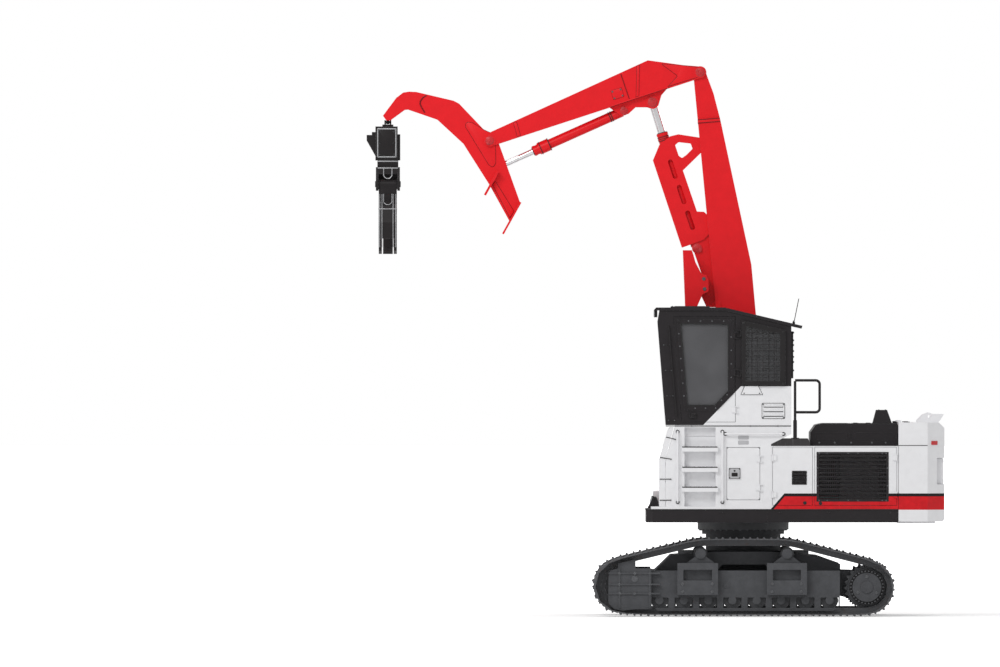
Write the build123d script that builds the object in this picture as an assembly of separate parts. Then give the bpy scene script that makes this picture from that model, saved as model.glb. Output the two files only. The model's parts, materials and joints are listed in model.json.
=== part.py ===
"""A tracked log loader with a knuckle boom, a live heel and a rotating grapple, as separate pieces.

Millimetres, +Z up, standing on z = 0. The machine faces -X, its cab is on the -Y side, and every
number below is measured from the swing axis until `save` moves the pieces to the middle of the box.
"""

import math
import os

from build123d import *

# ---------------------------------------------------------------- driving dimensions
SWING_AXIS_X = 1355         # the swing axis, from the middle of the whole machine
SEAT_GAP = 0.3              # between pieces that seat on each other
MOVING_GAP = 6              # between pieces that move past each other
PIN_CLEARANCE = 0.05        # on the radius of a running pin

# tracks
TRACK_GAUGE = 2800          # between the middles of the two tracks
SHOE_WIDTH = 700
SHOE_COUNT = 47
SHOE_THICKNESS = 14
GROUSER_HEIGHT = 24
LINK_HEIGHT = 92
RAIL_SPACING = 160          # between the middles of the two rails of the chain
RAIL_WIDTH = 55
IDLER_X, IDLER_Z = -1885, 465
DRIVE_X, DRIVE_Z = 1880, 445
WHEEL_BELT_RADIUS = 315     # of the idler and sprocket, to the inside of the chain
CARRIER_X = (-665, 660)
CARRIER_Z = 960
CARRIER_BELT_RADIUS = 120
CHAIN_SAG = 17              # of a straight link over a carrier roller
BOTTOM_BEND_X = -1450       # where the bottom run starts to rise to the idler
ROLLER_X = (-1295, -923, -551, -179, 193, 565, 937, 1309)
ROLLER_RADIUS = 115
ROLLER_HUB_RADIUS = 62
CARRIER_HUB_RADIUS = 78
SPROCKET_TEETH = 23
SPROCKET_TIP_RADIUS = 345
SPROCKET_ROOT_RADIUS = 312
SPROCKET_WIDTH = 66
HUB_RADIUS = 274
TOW_EYE_RADIUS = 30
# one shoe, as (share of the pitch, height over the shoe's top in grouser heights)
SHOE_SHAPE = ((0.02, -0.4), (0.02, 0.25), (0.10, 1), (0.16, 1), (0.22, 0), (0.50, 0), (0.56, 1),
              (0.62, 1), (0.68, 0), (0.98, 0), (0.98, -0.4))

# track frames
FRAME_HALF_WIDTH = 190
FRAME_FRONT_X, FRAME_REAR_X = -1415, 1465
FRAME_LOW_Z, FRAME_TOP_Z = 325, 700
STEP_X = ((-1020, -400), (350, 960))
STEP_LOW_Z, STEP_TOP_Z = 330, 815
STEP_DEPTH = 130

# slewing ring
RING_RADII = (575, 632, 700)
RING_LEVELS = (1210, 1250, 1320, 1435)

# deck
DECK_FRONT_X, DECK_REAR_X = -1495, 2360
DECK_HALF_WIDTH = 1450
DECK_LOW_Z, DECK_TOP_Z = 1435, 1640
DECK_DEPTH = 140
SKIRT_THICKNESS = 45
NOSE_CHAMFER = 90

# cab and riser, on the -Y side
CAB_OUTER_Y, CAB_INNER_Y = -1450, -430
RISER_TOP_Z = 2890
CAB_FLOOR_Z = 2925
CAB_REAR_X = 725
WALL = 45                   # thickness of a cab or riser wall
DOOR_FRONT_LOW_X, DOOR_FRONT_TOP_X, DOOR_REAR_X = -950, -1080, -135
DOOR_TOP_Z = 4585
DOOR_GAP = 6
HINGE_RADIUS, HINGE_PIN_RADIUS = 13, 8
HINGE_HALF, HINGE_LEAF = 40, 55
HINGE_OFFSET = 16           # from a door's outer face to its hinge's axis
HINGE_INSET = 3             # from a door's edge to its hinge's axis
GLASS_THICKNESS = 8
GRAB_RAIL_OFFSET = 55       # of a grab rail's middle from the cab's side
LADDER_X = (-910, -435)
LADDER_RECESS = 110
LOCKER_X = (-260, 240)
LOCKER_Z = (1785, 2580)
LOCKER_CORNER = 30
LOCKER_HINGE = (LOCKER_X[1] - HINGE_INSET, CAB_OUTER_Y - HINGE_OFFSET)
LOCKER_HINGE_Z = (1965, 2405)
CAB_DOOR_HINGE = (DOOR_REAR_X - HINGE_INSET, CAB_OUTER_Y - HINGE_OFFSET)
CAB_DOOR_HINGE_Z = (3160, 3730, 4300)
GUARD_HINGE = (-49, CAB_OUTER_Y - 26)
GUARD_HINGE_Z = (3720, 4330)
CAB_OUTLINE = [(-1195, CAB_FLOOR_Z), (-1320, 4510), (-1290, 4680), (-295, 4680),
               (CAB_REAR_X, 4438), (CAB_REAR_X, CAB_FLOOR_Z)]
CAB_INSIDE = [(-1148, CAB_FLOOR_Z + WALL), (-1268, 4510), (-1250, 4680 - WALL), (-300, 4680 - WALL),
              (CAB_REAR_X - WALL, 4402), (CAB_REAR_X - WALL, CAB_FLOOR_Z + WALL)]
SIDE_WINDOW = [(30, 3600), (30, 4435), (550, 4325), (550, 3600)]
DOOR_WINDOW = [(-875, 3220), (-980, 4485), (-230, 4475), (-230, 3445), (-440, 3220)]

# engine house
HOUSE_FRONT_X, HOUSE_SPLIT_X = 415, 1065
HOUSE_TOP_Z = 2605
HOOD_FRONT_X, HOOD_TOP_Z = 1020, 2945
HOOD_HALF_WIDTH = 1150
COUNTERWEIGHT_REAR_X = 3070
COUNTERWEIGHT_LOW_Z, COUNTERWEIGHT_TOP_Z = 1450, 2965
LIFT_EYE_X, LIFT_EYE_Z, LIFT_EYE_RADIUS = 2850, 3055, 28
LIFT_EYE_Y = 800
HOUSE_DOOR_Z = (1700, 2585)
FRONT_DOOR_X = (440, 1045)
REAR_DOOR_X = (1085, 2335)
PUMP_DOOR_X = (1085, 2335)
GRILLE_X, GRILLE_Z = (1110, 2215), (1755, 2515)
GRILLE_CORNER = 60
HOUSE_HINGE_Y = -DECK_HALF_WIDTH - HINGE_OFFSET
HOUSE_HINGE_Z = (HOUSE_DOOR_Z[0] + 160, HOUSE_DOOR_Z[1] - 160)
FRONT_HINGE_X = FRONT_DOOR_X[0] + HINGE_INSET
REAR_HINGE_X = REAR_DOOR_X[1] - HINGE_INSET
PUMP_HINGE_X = PUMP_DOOR_X[1] - HINGE_INSET
HOOD_HINGE = (2357, 2981)
HOOD_HINGE_Y = (-600, 600)

# boom, stick and heel: pins in the middle plane
BOOM_FOOT = (0, 2080)
BOOM_TIP = (-660, 8335)
STICK_END = (-3890, 7285)
HOIST_BASE = (-760, 1960)
HOIST_PIN = (-560, 4400)
STICK_CYLINDER_BASE = (-705, 5635)
STICK_CYLINDER_PIN = (-1390, 7875)
HEEL_CYLINDER_BASE = (-1830, 7745)
HEEL_CYLINDER_PIN = (-3765, 6880)
BOOM_HALF_WIDTH = 200
STICK_HALF_WIDTH = 200
HEEL_HALF_WIDTH = 160
BOX_PLATE = 20              # plate of the boom, stick and heel
CHEEK_PLATE = 24            # of the boom's brackets on the deck
LUG_PLATE = 30
COLLAR = 5                  # how far a barrel's collars stand out
PIN_RADIUS = 55
HOIST_Y = 312               # middle of each hoist cylinder
HOIST_BARREL_RADIUS, HOIST_ROD_RADIUS = 75, 48
STICK_BARREL_RADIUS, STICK_ROD_RADIUS = 85, 60
HEEL_BARREL_RADIUS, HEEL_ROD_RADIUS = 75, 46
BOOM_OUTLINE = [(-140, 2080), (-215, 2900), (-420, 4730), (-755, 8215), (-740, 8370), (-585, 8365),
                (-455, 8010), (-355, 7625), (125, 5385), (195, 4620), (240, 3900), (140, 2080)]
STICK_OUTLINE = [(-655, 8425), (-915, 8445), (-1465, 8520), (-3875, 7420), (-3975, 7300),
                 (-3880, 7200), (-3795, 7225), (-610, 8265), (-570, 8340)]
LUG_OUTLINE = [(-2050, 7795), (-1960, 7730), (-1875, 7670), (-1760, 7700), (-1650, 7800),
               (-1480, 7800), (-1390, 7775), (-1300, 7830), (-1255, 7985), (-1150, 8105),
               (-1600, 7960)]
HEEL_OUTLINE = [(-5530, 7670), (-5325, 7945), (-5220, 8025), (-5130, 8040), (-5020, 8035),
                (-4445, 7900), (-4360, 7855), (-3980, 7455), (-3870, 7410), (-3770, 7300),
                (-3429, 6350), (-3592, 6059), (-3895, 6610), (-4295, 7240), (-4695, 7610),
                (-5145, 7765), (-5195, 7760), (-5415, 7600), (-5480, 7600)]
BOOM_TOP_HALF_WIDTH = 160
HOIST_EYE_HALF = 70
STICK_LUG_INNER = 86
EYE_HALF_WIDTH = 80
CYLINDER_DEAD_END = 130
HOIST_BARREL_LENGTH, STICK_BARREL_LENGTH, HEEL_BARREL_LENGTH = 1450, 1850, 1520
HOIST_TAIL, STICK_TAIL, HEEL_TAIL = 940, 470, 460
HEEL_PIN_RADIUS = 42

# grapple
GRAPPLE_X = -5455
LINK_PIN_Z = 7655
HANGER_PIN_Z = 7572
HEAD_TOP_Z, HEAD_LOW_Z = 7505, 6985
ARM_PIVOT_Y, ARM_PIVOT_Z = 200, 6620
LOG_Z, LOG_RADIUS = 5905, 345
ARM_PIN_RADIUS, ARM_HUB_RADIUS = 45, 78
ARM_PIN_X = (-5650, -5258)
ARM_BORE_X = (-5700, -5200)
LINK_HALF_WIDTH = 32
LINK_PIN_RADIUS = 20
# a grapple arm, as (angle round the log, thickness): from its shoulder to its tip
ARM_SHAPE = ((62, 190), (40, 175), (15, 150), (-15, 125), (-45, 90), (-68, 40))


# ---------------------------------------------------------------- shapes
def side_face(outline, corner=0):
    """A face from (x, z) points, its corners rounded by `corner`."""
    face = make_face(Polyline(*outline, close=True))
    return fillet(face.vertices(), corner) if corner else face


def side_plate(outline, y_low, y_high, corner=0):
    """An (x, z) outline carried across the machine from y_low to y_high."""
    return extrude(Plane.XZ.offset(-y_high) * side_face(outline, corner), y_high - y_low)


def top_plate(outline, z_low, z_high, corner=0):
    """An (x, y) outline carried up from z_low to z_high."""
    return Pos(0, 0, z_low) * extrude(side_face(outline, corner), z_high - z_low)


def front_plate(outline, x_low, x_high, corner=0):
    """A (y, z) outline carried back from x_low to x_high."""
    return extrude(Plane.YZ.offset(x_low) * side_face(outline, corner), x_high - x_low)


def block(x_low, x_high, y_low, y_high, z_low, z_high):
    middle = Pos((x_low + x_high) / 2, (y_low + y_high) / 2, (z_low + z_high) / 2)
    return middle * Box(x_high - x_low, y_high - y_low, z_high - z_low)


def cross_pin(centre, y_low, y_high, radius):
    """A round bar along Y at the (x, z) centre."""
    x, z = centre
    return Pos(x, (y_low + y_high) / 2, z) * Rot(90, 0, 0) * Cylinder(radius, y_high - y_low)


def long_pin(y, z, x_low, x_high, radius):
    """A round bar along X."""
    return Pos((x_low + x_high) / 2, y, z) * Rot(0, 90, 0) * Cylinder(radius, x_high - x_low)


def turned(start, end, y, *stages):
    """Round stages (from, to, radius) along the line from start to end, both (x, z)."""
    along = Vector(end[0] - start[0], 0, end[1] - start[1])
    axis = Plane(origin=(start[0], y, start[1]), z_dir=along)
    body = Part()
    for low, high, radius in stages:
        body += axis * Pos(0, 0, (low + high) / 2) * Cylinder(radius, high - low)
    return body


def tube(points, radius, bend):
    """A bent round tube through 3-D points."""
    path = FilletPolyline(*points, radius=bend)
    return sweep(Plane(origin=path @ 0, z_dir=path % 0) * Circle(radius), path=path)


def distance(start, end):
    return math.dist(start, end)


def both_sides(piece):
    """A piece and its mirror image on the other side of the machine."""
    return [piece, mirror(piece, about=Plane.XZ)]


def upright_pin(x, y, z_low, z_high, radius):
    return Pos(x, y, (z_low + z_high) / 2) * Cylinder(radius, z_high - z_low)


def hinge_pins(x, y, wall_y, levels, toward):
    """Fixed halves of upright hinges: a pin between two lugs that stand on the wall.

    `toward` is +1 or -1, the side of the axis along X on which the lugs are carried.
    """
    fixed = Part()
    for z in levels:
        fixed += upright_pin(x, y, z - HINGE_HALF - 12, z + HINGE_HALF + 12, HINGE_PIN_RADIUS)
        for low in (z - HINGE_HALF - 13, z + HINGE_HALF + 1):
            span = sorted((x, x + toward * HINGE_LEAF))
            fixed += upright_pin(x, y, low, low + 12, HINGE_RADIUS)
            fixed += block(*span, y - HINGE_RADIUS, wall_y, low, low + 12)
    return fixed


def hinge_knuckles(x, y, wall_y, levels, toward):
    """Moving halves of upright hinges: a bored knuckle on a leaf that lies on the door."""
    moving = Part()
    for z in levels:
        moving += upright_pin(x, y, z - HINGE_HALF, z + HINGE_HALF, HINGE_RADIUS)
        span = sorted((x, x + toward * HINGE_LEAF))
        moving += block(*span, y - 6, wall_y, z - HINGE_HALF, z + HINGE_HALF)
        moving -= upright_pin(x, y, z - HINGE_HALF - 1, z + HINGE_HALF + 1,
                              HINGE_PIN_RADIUS + PIN_CLEARANCE)
    return moving


# ---------------------------------------------------------------- tracks
def belt_runs(circles):
    """Straight runs of a belt laid counter-clockwise round (x, z, radius) circles."""
    runs = []
    for (x1, z1, r1), (x2, z2, r2) in zip(circles, circles[1:] + circles[:1]):
        heading = math.atan2(z2 - z1, x2 - x1) + math.asin((r1 - r2) / math.hypot(x2 - x1, z2 - z1))
        out = Vector(math.sin(heading), -math.cos(heading))
        runs.append((Vector(x1, z1) + out * r1, Vector(x2, z2) + out * r2, heading))
    return runs


def belt_points(circles, count):
    """`count` evenly spaced points on the belt: straight runs, and an arc round each circle."""
    runs = belt_runs(circles)
    stretches = []
    for index, (start, end, heading) in enumerate(runs):
        stretches.append(("run", start, heading, (end - start).length, None))
        x, z, radius = circles[(index + 1) % len(circles)]
        turn = (runs[(index + 1) % len(runs)][2] - heading) % (2 * math.pi)
        stretches.append(("arc", Vector(x, z), heading, radius * turn, radius))
    pitch = sum(stretch[3] for stretch in stretches) / count
    points, travelled, left = [], 0, list(stretches)
    for index in range(count):
        while index * pitch > travelled + left[0][3]:
            travelled += left.pop(0)[3]
        kind, origin, heading, _, radius = left[0]
        along = index * pitch - travelled
        if kind == "run":
            points.append(origin + Vector(math.cos(heading), math.sin(heading)) * along)
        else:
            angle = heading + along / radius
            points.append(origin + Vector(math.sin(angle), -math.cos(angle)) * radius)
    return points, pitch


def chain_circles(inset=0):
    """The wheels that the chain goes round, to its pins when inset is half a link."""
    return [
        (DRIVE_X, DRIVE_Z, WHEEL_BELT_RADIUS + inset),
        (CARRIER_X[1], CARRIER_Z, CARRIER_BELT_RADIUS + inset),
        (CARRIER_X[0], CARRIER_Z, CARRIER_BELT_RADIUS + inset),
        (IDLER_X, IDLER_Z, WHEEL_BELT_RADIUS + inset),
        (BOTTOM_BEND_X, roller_z(), ROLLER_RADIUS + inset),
    ]


def band_thickness():
    return LINK_HEIGHT + SHOE_THICKNESS + GROUSER_HEIGHT


def roller_z():
    return band_thickness() + ROLLER_RADIUS


def rim_radius():
    """Radius of a wheel that straight links lie on, as chords of the belt."""
    _, pitch = belt_points(chain_circles(LINK_HEIGHT / 2), SHOE_COUNT)
    pin_radius = WHEEL_BELT_RADIUS + LINK_HEIGHT / 2
    return math.sqrt(pin_radius ** 2 - (pitch / 2) ** 2) - LINK_HEIGHT / 2 - SEAT_GAP


def track_loop(side):
    """The chain of one track with its shoes, as one fixed loop."""
    pins, pitch = belt_points(chain_circles(LINK_HEIGHT / 2), SHOE_COUNT)
    shoe_top = LINK_HEIGHT / 2 + SHOE_THICKNESS
    outer, under, rail = [], [], []
    for start, end in zip(pins, pins[1:] + pins[:1]):
        along = (end - start).normalized()
        out = Vector(along.Y, -along.X)
        length = (end - start).length
        for share, rise in SHOE_SHAPE:
            outer.append(start + along * (share * length) + out * (shoe_top + rise * GROUSER_HEIGHT))
        under.append(start + along * (length / 2) + out * (shoe_top - SHOE_THICKNESS))
        rail.append(start + along * (length * 0.12) - out * (LINK_HEIGHT / 2))
        rail.append(start + along * (length * 0.88) - out * (LINK_HEIGHT / 2))
    outer, under, rail = ([(p.X, p.Y) for p in line] for line in (outer, under, rail))
    middle = side * TRACK_GAUGE / 2
    half = SHOE_WIDTH / 2
    shoes = side_plate(outer, middle - half, middle + half)
    shoes -= side_plate(under, middle - half - 1, middle + half + 1)
    band = shoes
    for rail_side in (-1, 1):
        rail_y = middle + rail_side * RAIL_SPACING / 2
        rails = side_plate(under, rail_y - RAIL_WIDTH / 2, rail_y + RAIL_WIDTH / 2)
        rails -= side_plate(rail, rail_y - RAIL_WIDTH, rail_y + RAIL_WIDTH)
        band += rails
    return band


# ---------------------------------------------------------------- undercarriage
def wheels_at(middle):
    """Idler of one track: a rim on each rail and a guide flange between them."""
    rim = RAIL_SPACING / 2 + RAIL_WIDTH / 2
    guide = RAIL_SPACING / 2 - RAIL_WIDTH / 2 - MOVING_GAP
    wheel = cross_pin((IDLER_X, IDLER_Z), middle - rim, middle + rim, rim_radius())
    wheel += cross_pin((IDLER_X, IDLER_Z), middle - guide, middle + guide, rim_radius() + 22)
    recess = rim_radius() - 60
    for face in (-1, 1):
        outer_face = middle + face * rim
        inner_face = outer_face - face * 30
        low, high = sorted((outer_face, inner_face))
        wheel -= cross_pin((IDLER_X, IDLER_Z), low, high, recess) - cross_pin(
            (IDLER_X, IDLER_Z), low, high, 90)
    axle = FRAME_HALF_WIDTH - 1
    return wheel + cross_pin((IDLER_X, IDLER_Z), middle - axle, middle + axle, 55)


def sprocket_at(middle):
    """Toothed drive wheel between the rails of one chain."""
    step = 2 * math.pi / SPROCKET_TEETH
    teeth = []
    for index in range(SPROCKET_TEETH):
        for share, radius in ((0.0, SPROCKET_ROOT_RADIUS), (0.30, SPROCKET_ROOT_RADIUS),
                              (0.55, SPROCKET_TIP_RADIUS), (0.75, SPROCKET_TIP_RADIUS)):
            angle = (index + share) * step
            teeth.append((DRIVE_X + radius * math.cos(angle), DRIVE_Z + radius * math.sin(angle)))
    half = SPROCKET_WIDTH / 2
    return side_plate(teeth, middle - half, middle + half)


def final_drive_at(side):
    """Stepped hub outside the sprocket and the motor housing inside it."""
    middle = side * TRACK_GAUGE / 2
    half = SPROCKET_WIDTH / 2
    stages = ((half, 70, HUB_RADIUS + 18), (70, 150, HUB_RADIUS), (150, 185, HUB_RADIUS - 55),
              (-FRAME_HALF_WIDTH - 160, -150, 150), (-150, -half, HUB_RADIUS - 30))
    hub = Part()
    for low, high, radius in stages:
        ends = sorted((middle + side * low, middle + side * high))
        hub += cross_pin((DRIVE_X, DRIVE_Z), ends[0], ends[1], radius)
    return hub


def rollers_at(middle):
    """Bottom rollers and carrier rollers of one track, each a double-flanged barrel on its axle."""
    pieces = []
    inner = RAIL_SPACING / 2 + RAIL_WIDTH / 2
    for x in ROLLER_X:
        radius = ROLLER_RADIUS - SEAT_GAP
        roller = cross_pin((x, roller_z()), middle - inner, middle + inner, radius)
        for face in (-1, 1):
            flange = sorted((middle + face * inner, middle + face * (inner + 16)))
            roller += cross_pin((x, roller_z()), flange[0], flange[1], radius + 18)
        roller += cross_pin((x, roller_z()), middle - roller_guard_y(), middle + roller_guard_y(), 38)
        pieces.append(roller)
    return pieces


def roller_guard_y():
    """Half the distance between the two roller guards of a track."""
    return FRAME_HALF_WIDTH - 30


def carriers_at(side):
    middle = side * TRACK_GAUGE / 2
    pieces = []
    inner = RAIL_SPACING / 2 + RAIL_WIDTH / 2
    for x in CARRIER_X:
        radius = CARRIER_BELT_RADIUS - CHAIN_SAG
        roller = cross_pin((x, CARRIER_Z), middle - inner, middle + inner, radius)
        ends = sorted((middle + side * inner, middle + side * (inner + 40)))
        roller += cross_pin((x, CARRIER_Z), ends[0], ends[1], CARRIER_HUB_RADIUS)
        pieces.append(roller)
    return pieces


def track_frame(side):
    """Box beam of one track with its end plates, roller guards and carrier brackets."""
    middle = side * TRACK_GAUGE / 2
    half = FRAME_HALF_WIDTH
    beam = side_plate(
        [(FRAME_FRONT_X, FRAME_LOW_Z), (FRAME_REAR_X, FRAME_LOW_Z), (FRAME_REAR_X, FRAME_TOP_Z),
         (FRAME_FRONT_X, FRAME_TOP_Z)], middle - half, middle + half)
    # fork of the idler
    for face in (-1, 1):
        cheek = sorted((middle + face * (half - 40), middle + face * half))
        beam += side_plate(
            [(FRAME_FRONT_X + 60, FRAME_LOW_Z), (IDLER_X - 120, FRAME_LOW_Z + 40),
             (IDLER_X - 120, FRAME_TOP_Z - 120), (FRAME_FRONT_X + 60, FRAME_TOP_Z)],
            cheek[0], cheek[1])
    beam -= cross_pin((IDLER_X, IDLER_Z), middle - half - 1, middle + half + 1, 55 + SEAT_GAP)
    # plate that carries the final drive, on the machine's side of the sprocket
    mount = sorted((middle - side * half, middle - side * (half - 40)))
    plate = side_plate(
        [(FRAME_REAR_X - 60, FRAME_LOW_Z), (DRIVE_X, DRIVE_Z - 230), (DRIVE_X + 200, DRIVE_Z - 90),
         (DRIVE_X + 200, DRIVE_Z + 130), (DRIVE_X, DRIVE_Z + 240), (FRAME_REAR_X - 60, FRAME_TOP_Z)],
        mount[0], mount[1])
    beam += plate
    motor_hole = cross_pin((DRIVE_X, DRIVE_Z), mount[0] - 1, mount[1] + 1, 150 + SEAT_GAP)
    beam -= motor_hole
    # guards beside the bottom rollers, with a window at each roller
    guard_low = band_thickness() - 45
    for face in (-1, 1):
        guard = sorted((middle + face * roller_guard_y(), middle + face * half))
        panel = side_plate(
            [(FRAME_FRONT_X, FRAME_LOW_Z), (FRAME_FRONT_X, guard_low + 90),
             (FRAME_FRONT_X + 100, guard_low), (FRAME_REAR_X - 100, guard_low),
             (FRAME_REAR_X, guard_low + 70), (FRAME_REAR_X, FRAME_LOW_Z)], guard[0], guard[1])
        for x in ROLLER_X:
            panel -= side_plate([(x - 140, guard_low + 45), (x + 140, guard_low + 45),
                                 (x + 140, FRAME_LOW_Z - 35), (x - 140, FRAME_LOW_Z - 35)],
                                guard[0] - 1, guard[1] + 1, 14)
            panel += block(x - 36, x + 36, guard[0], guard[1], roller_z(), FRAME_LOW_Z)
            panel += cross_pin((x, roller_z()), guard[0], guard[1], ROLLER_HUB_RADIUS)
        beam += panel
    # channel over the rollers' flanges
    channel = RAIL_SPACING / 2 + RAIL_WIDTH / 2 + 16 + MOVING_GAP
    beam -= block(FRAME_FRONT_X - 1, FRAME_REAR_X + 1, middle - channel, middle + channel,
                  FRAME_LOW_Z - 1, roller_z() + ROLLER_RADIUS + 18 + MOVING_GAP)
    # brackets of the carrier rollers
    rim = RAIL_SPACING / 2 + RAIL_WIDTH / 2
    bracket = sorted((middle + side * (rim + 40), middle + side * half))
    boss = sorted((middle + side * (rim + 40), middle + side * (half + 30)))
    for x in CARRIER_X:
        beam += side_plate(
            [(x - 215, FRAME_TOP_Z), (x + 215, FRAME_TOP_Z), (x + 200, 830), (x + 60, 930),
             (x - 60, 930), (x - 200, 830)], bracket[0], bracket[1])
        beam += cross_pin((x, CARRIER_Z), boss[0], boss[1], CARRIER_HUB_RADIUS)
    return beam


def side_steps(side):
    """Two step boxes on the outer face of one track frame, each with a foothold."""
    face = TRACK_GAUGE / 2 + FRAME_HALF_WIDTH
    pieces = []
    for front, rear in STEP_X:
        box = block(front, rear, face, face + STEP_DEPTH, STEP_LOW_Z, STEP_TOP_Z)
        box -= block(front + 90, rear - 90, face + 25, face + STEP_DEPTH + 1, 550, 715)
        pieces.append(box if side > 0 else mirror(box, about=Plane.XZ))
    return pieces


def idler_guard(side):
    """Rounded cover outside the idler, stiffened by straps."""
    face = TRACK_GAUGE / 2 + FRAME_HALF_WIDTH
    cover = side_plate(
        [(-2075, 200), (-1985, 110), (-1860, 90), (-1660, 110), (FRAME_FRONT_X, 110),
         (FRAME_FRONT_X, 735), (-1660, 735), (-1660, 870), (-1930, 810), (-1930, 735), (-2050, 700),
         (-2075, 600)], face, face + 60)
    for z in (660, 490, 350):
        cover += block(-2075, -1290, face, face + 80, z - 12, z + 12)
    for x in (-1905, -1440):
        cover += block(x - 12, x + 12, face, face + 80, 130, 735)
    return cover if side > 0 else mirror(cover, about=Plane.XZ)


def car_body():
    """Centre frame with an arched leg to each corner, and the fixed half of the slewing ring on it."""
    reach = TRACK_GAUGE / 2 - FRAME_HALF_WIDTH
    front, rear = FRAME_FRONT_X + 40, FRAME_REAR_X + 12
    heights = side_plate(
        [(front, 470), (rear, 470), (rear, 800), (1125, 925), (430, 985), (-430, 985), (-1118, 936),
         (-1300, 760), (front, 690)], -reach, reach)
    spread = top_plate(
        [(front, -reach), (rear, -reach), (rear, -reach + 170), (640, -420), (640, 420),
         (rear, reach - 170), (rear, reach), (front, reach), (front, reach - 170), (-640, 420),
         (-640, -420), (front, -reach + 170)], 400, 1000)
    legs = heights & spread
    arch = side_plate([(-460, 400), (460, 400), (460, 640), (330, 790), (-330, 790), (-460, 640)],
                      -reach - 1, -640)
    legs -= arch
    legs -= mirror(arch, about=Plane.XZ)
    centre = top_plate([(-1000, -520), (-780, -800), (780, -800), (1000, -520), (1000, 520),
                        (780, 800), (-780, 800), (-1000, 520)], 520, 1000)
    centre -= block(-400, 400, -300, 300, 400, 900)
    tower = Pos(0, 0, 1100) * Cylinder(RING_RADII[0], 240)
    body = legs + centre + tower
    body += Pos(0, 0, (RING_LEVELS[1] + RING_LEVELS[2]) / 2 - SEAT_GAP) * Cylinder(
        RING_RADII[1], RING_LEVELS[2] - RING_LEVELS[1])
    body += Pos(0, 0, RING_LEVELS[1] - 20) * Cylinder(RING_RADII[0], 50)
    # towing eyes at the front and rear
    for end in (-1, 1):
        eye = top_plate([(end * 980, -120), (end * 1130, -90), (end * 1190, -40), (end * 1190, 40),
                         (end * 1130, 90), (end * 980, 120)], 630, 670)
        body += eye - Pos(end * 1110, 0, 650) * Cylinder(TOW_EYE_RADIUS, 60)
    return body


# ---------------------------------------------------------------- deck, riser and cab
def deck_frame():
    """Deck plate with the turning ring under it and the boom's brackets and pins on it."""
    deck = top_plate(deck_outline(SKIRT_THICKNESS), DECK_TOP_Z - DECK_DEPTH, DECK_TOP_Z)
    deck += Pos(0, 0, (RING_LEVELS[2] + DECK_TOP_Z) / 2) * Cylinder(
        RING_RADII[2], DECK_TOP_Z - RING_LEVELS[2])
    deck += block(-1250, DECK_REAR_X, -420, 420, DECK_LOW_Z, DECK_TOP_Z)
    cheek_inner = BOOM_HALF_WIDTH + MOVING_GAP
    cheek_outer = cheek_inner + CHEEK_PLATE
    foot_x, foot_z = BOOM_FOOT
    base_x, base_z = HOIST_BASE
    cheek = side_plate(
        [(base_x - 180, DECK_TOP_Z), (base_x - 110, base_z + 40), (base_x + 20, base_z + 110),
         (foot_x - 150, foot_z + 60), (foot_x - 70, foot_z + 130), (foot_x + 90, foot_z + 130),
         (foot_x + 170, foot_z + 20), (foot_x + 420, DECK_TOP_Z)], cheek_inner, cheek_outer)
    outer = side_plate(
        [(base_x - 170, DECK_TOP_Z), (base_x - 90, base_z + 60), (base_x, base_z + 95),
         (base_x + 90, base_z + 60), (base_x + 170, DECK_TOP_Z)], hoist_bracket_y(),
        hoist_bracket_y() + CHEEK_PLATE)
    deck += both_sides(cheek) + both_sides(outer)
    deck += cross_pin(BOOM_FOOT, -cheek_outer - 20, cheek_outer + 20, PIN_RADIUS)
    for side in (-1, 1):
        ends = sorted((side * cheek_inner, side * (hoist_bracket_y() + CHEEK_PLATE + 12)))
        deck += cross_pin(HOIST_BASE, ends[0], ends[1], PIN_RADIUS)
    return deck


def hoist_bracket_y():
    """Inner face of the outer bracket of a hoist cylinder."""
    return HOIST_Y + HOIST_BARREL_RADIUS + 5


def deck_outline(inset=0):
    """Plan of the deck: a chamfered nose and a straight rear edge."""
    front, side = DECK_FRONT_X + inset, DECK_HALF_WIDTH - inset
    return [(DECK_REAR_X, -side), (front + NOSE_CHAMFER, -side), (front, -side + NOSE_CHAMFER),
            (front, side - NOSE_CHAMFER), (front + NOSE_CHAMFER, side), (DECK_REAR_X, side)]


def deck_skirts():
    """Dark skirt round the deck, its nose chamfered, open behind for the counterweight."""
    skirt = top_plate(deck_outline(), DECK_LOW_Z, DECK_TOP_Z)
    skirt -= top_plate(deck_outline(SKIRT_THICKNESS), DECK_LOW_Z - 1, DECK_TOP_Z + 1)
    return skirt


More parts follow.
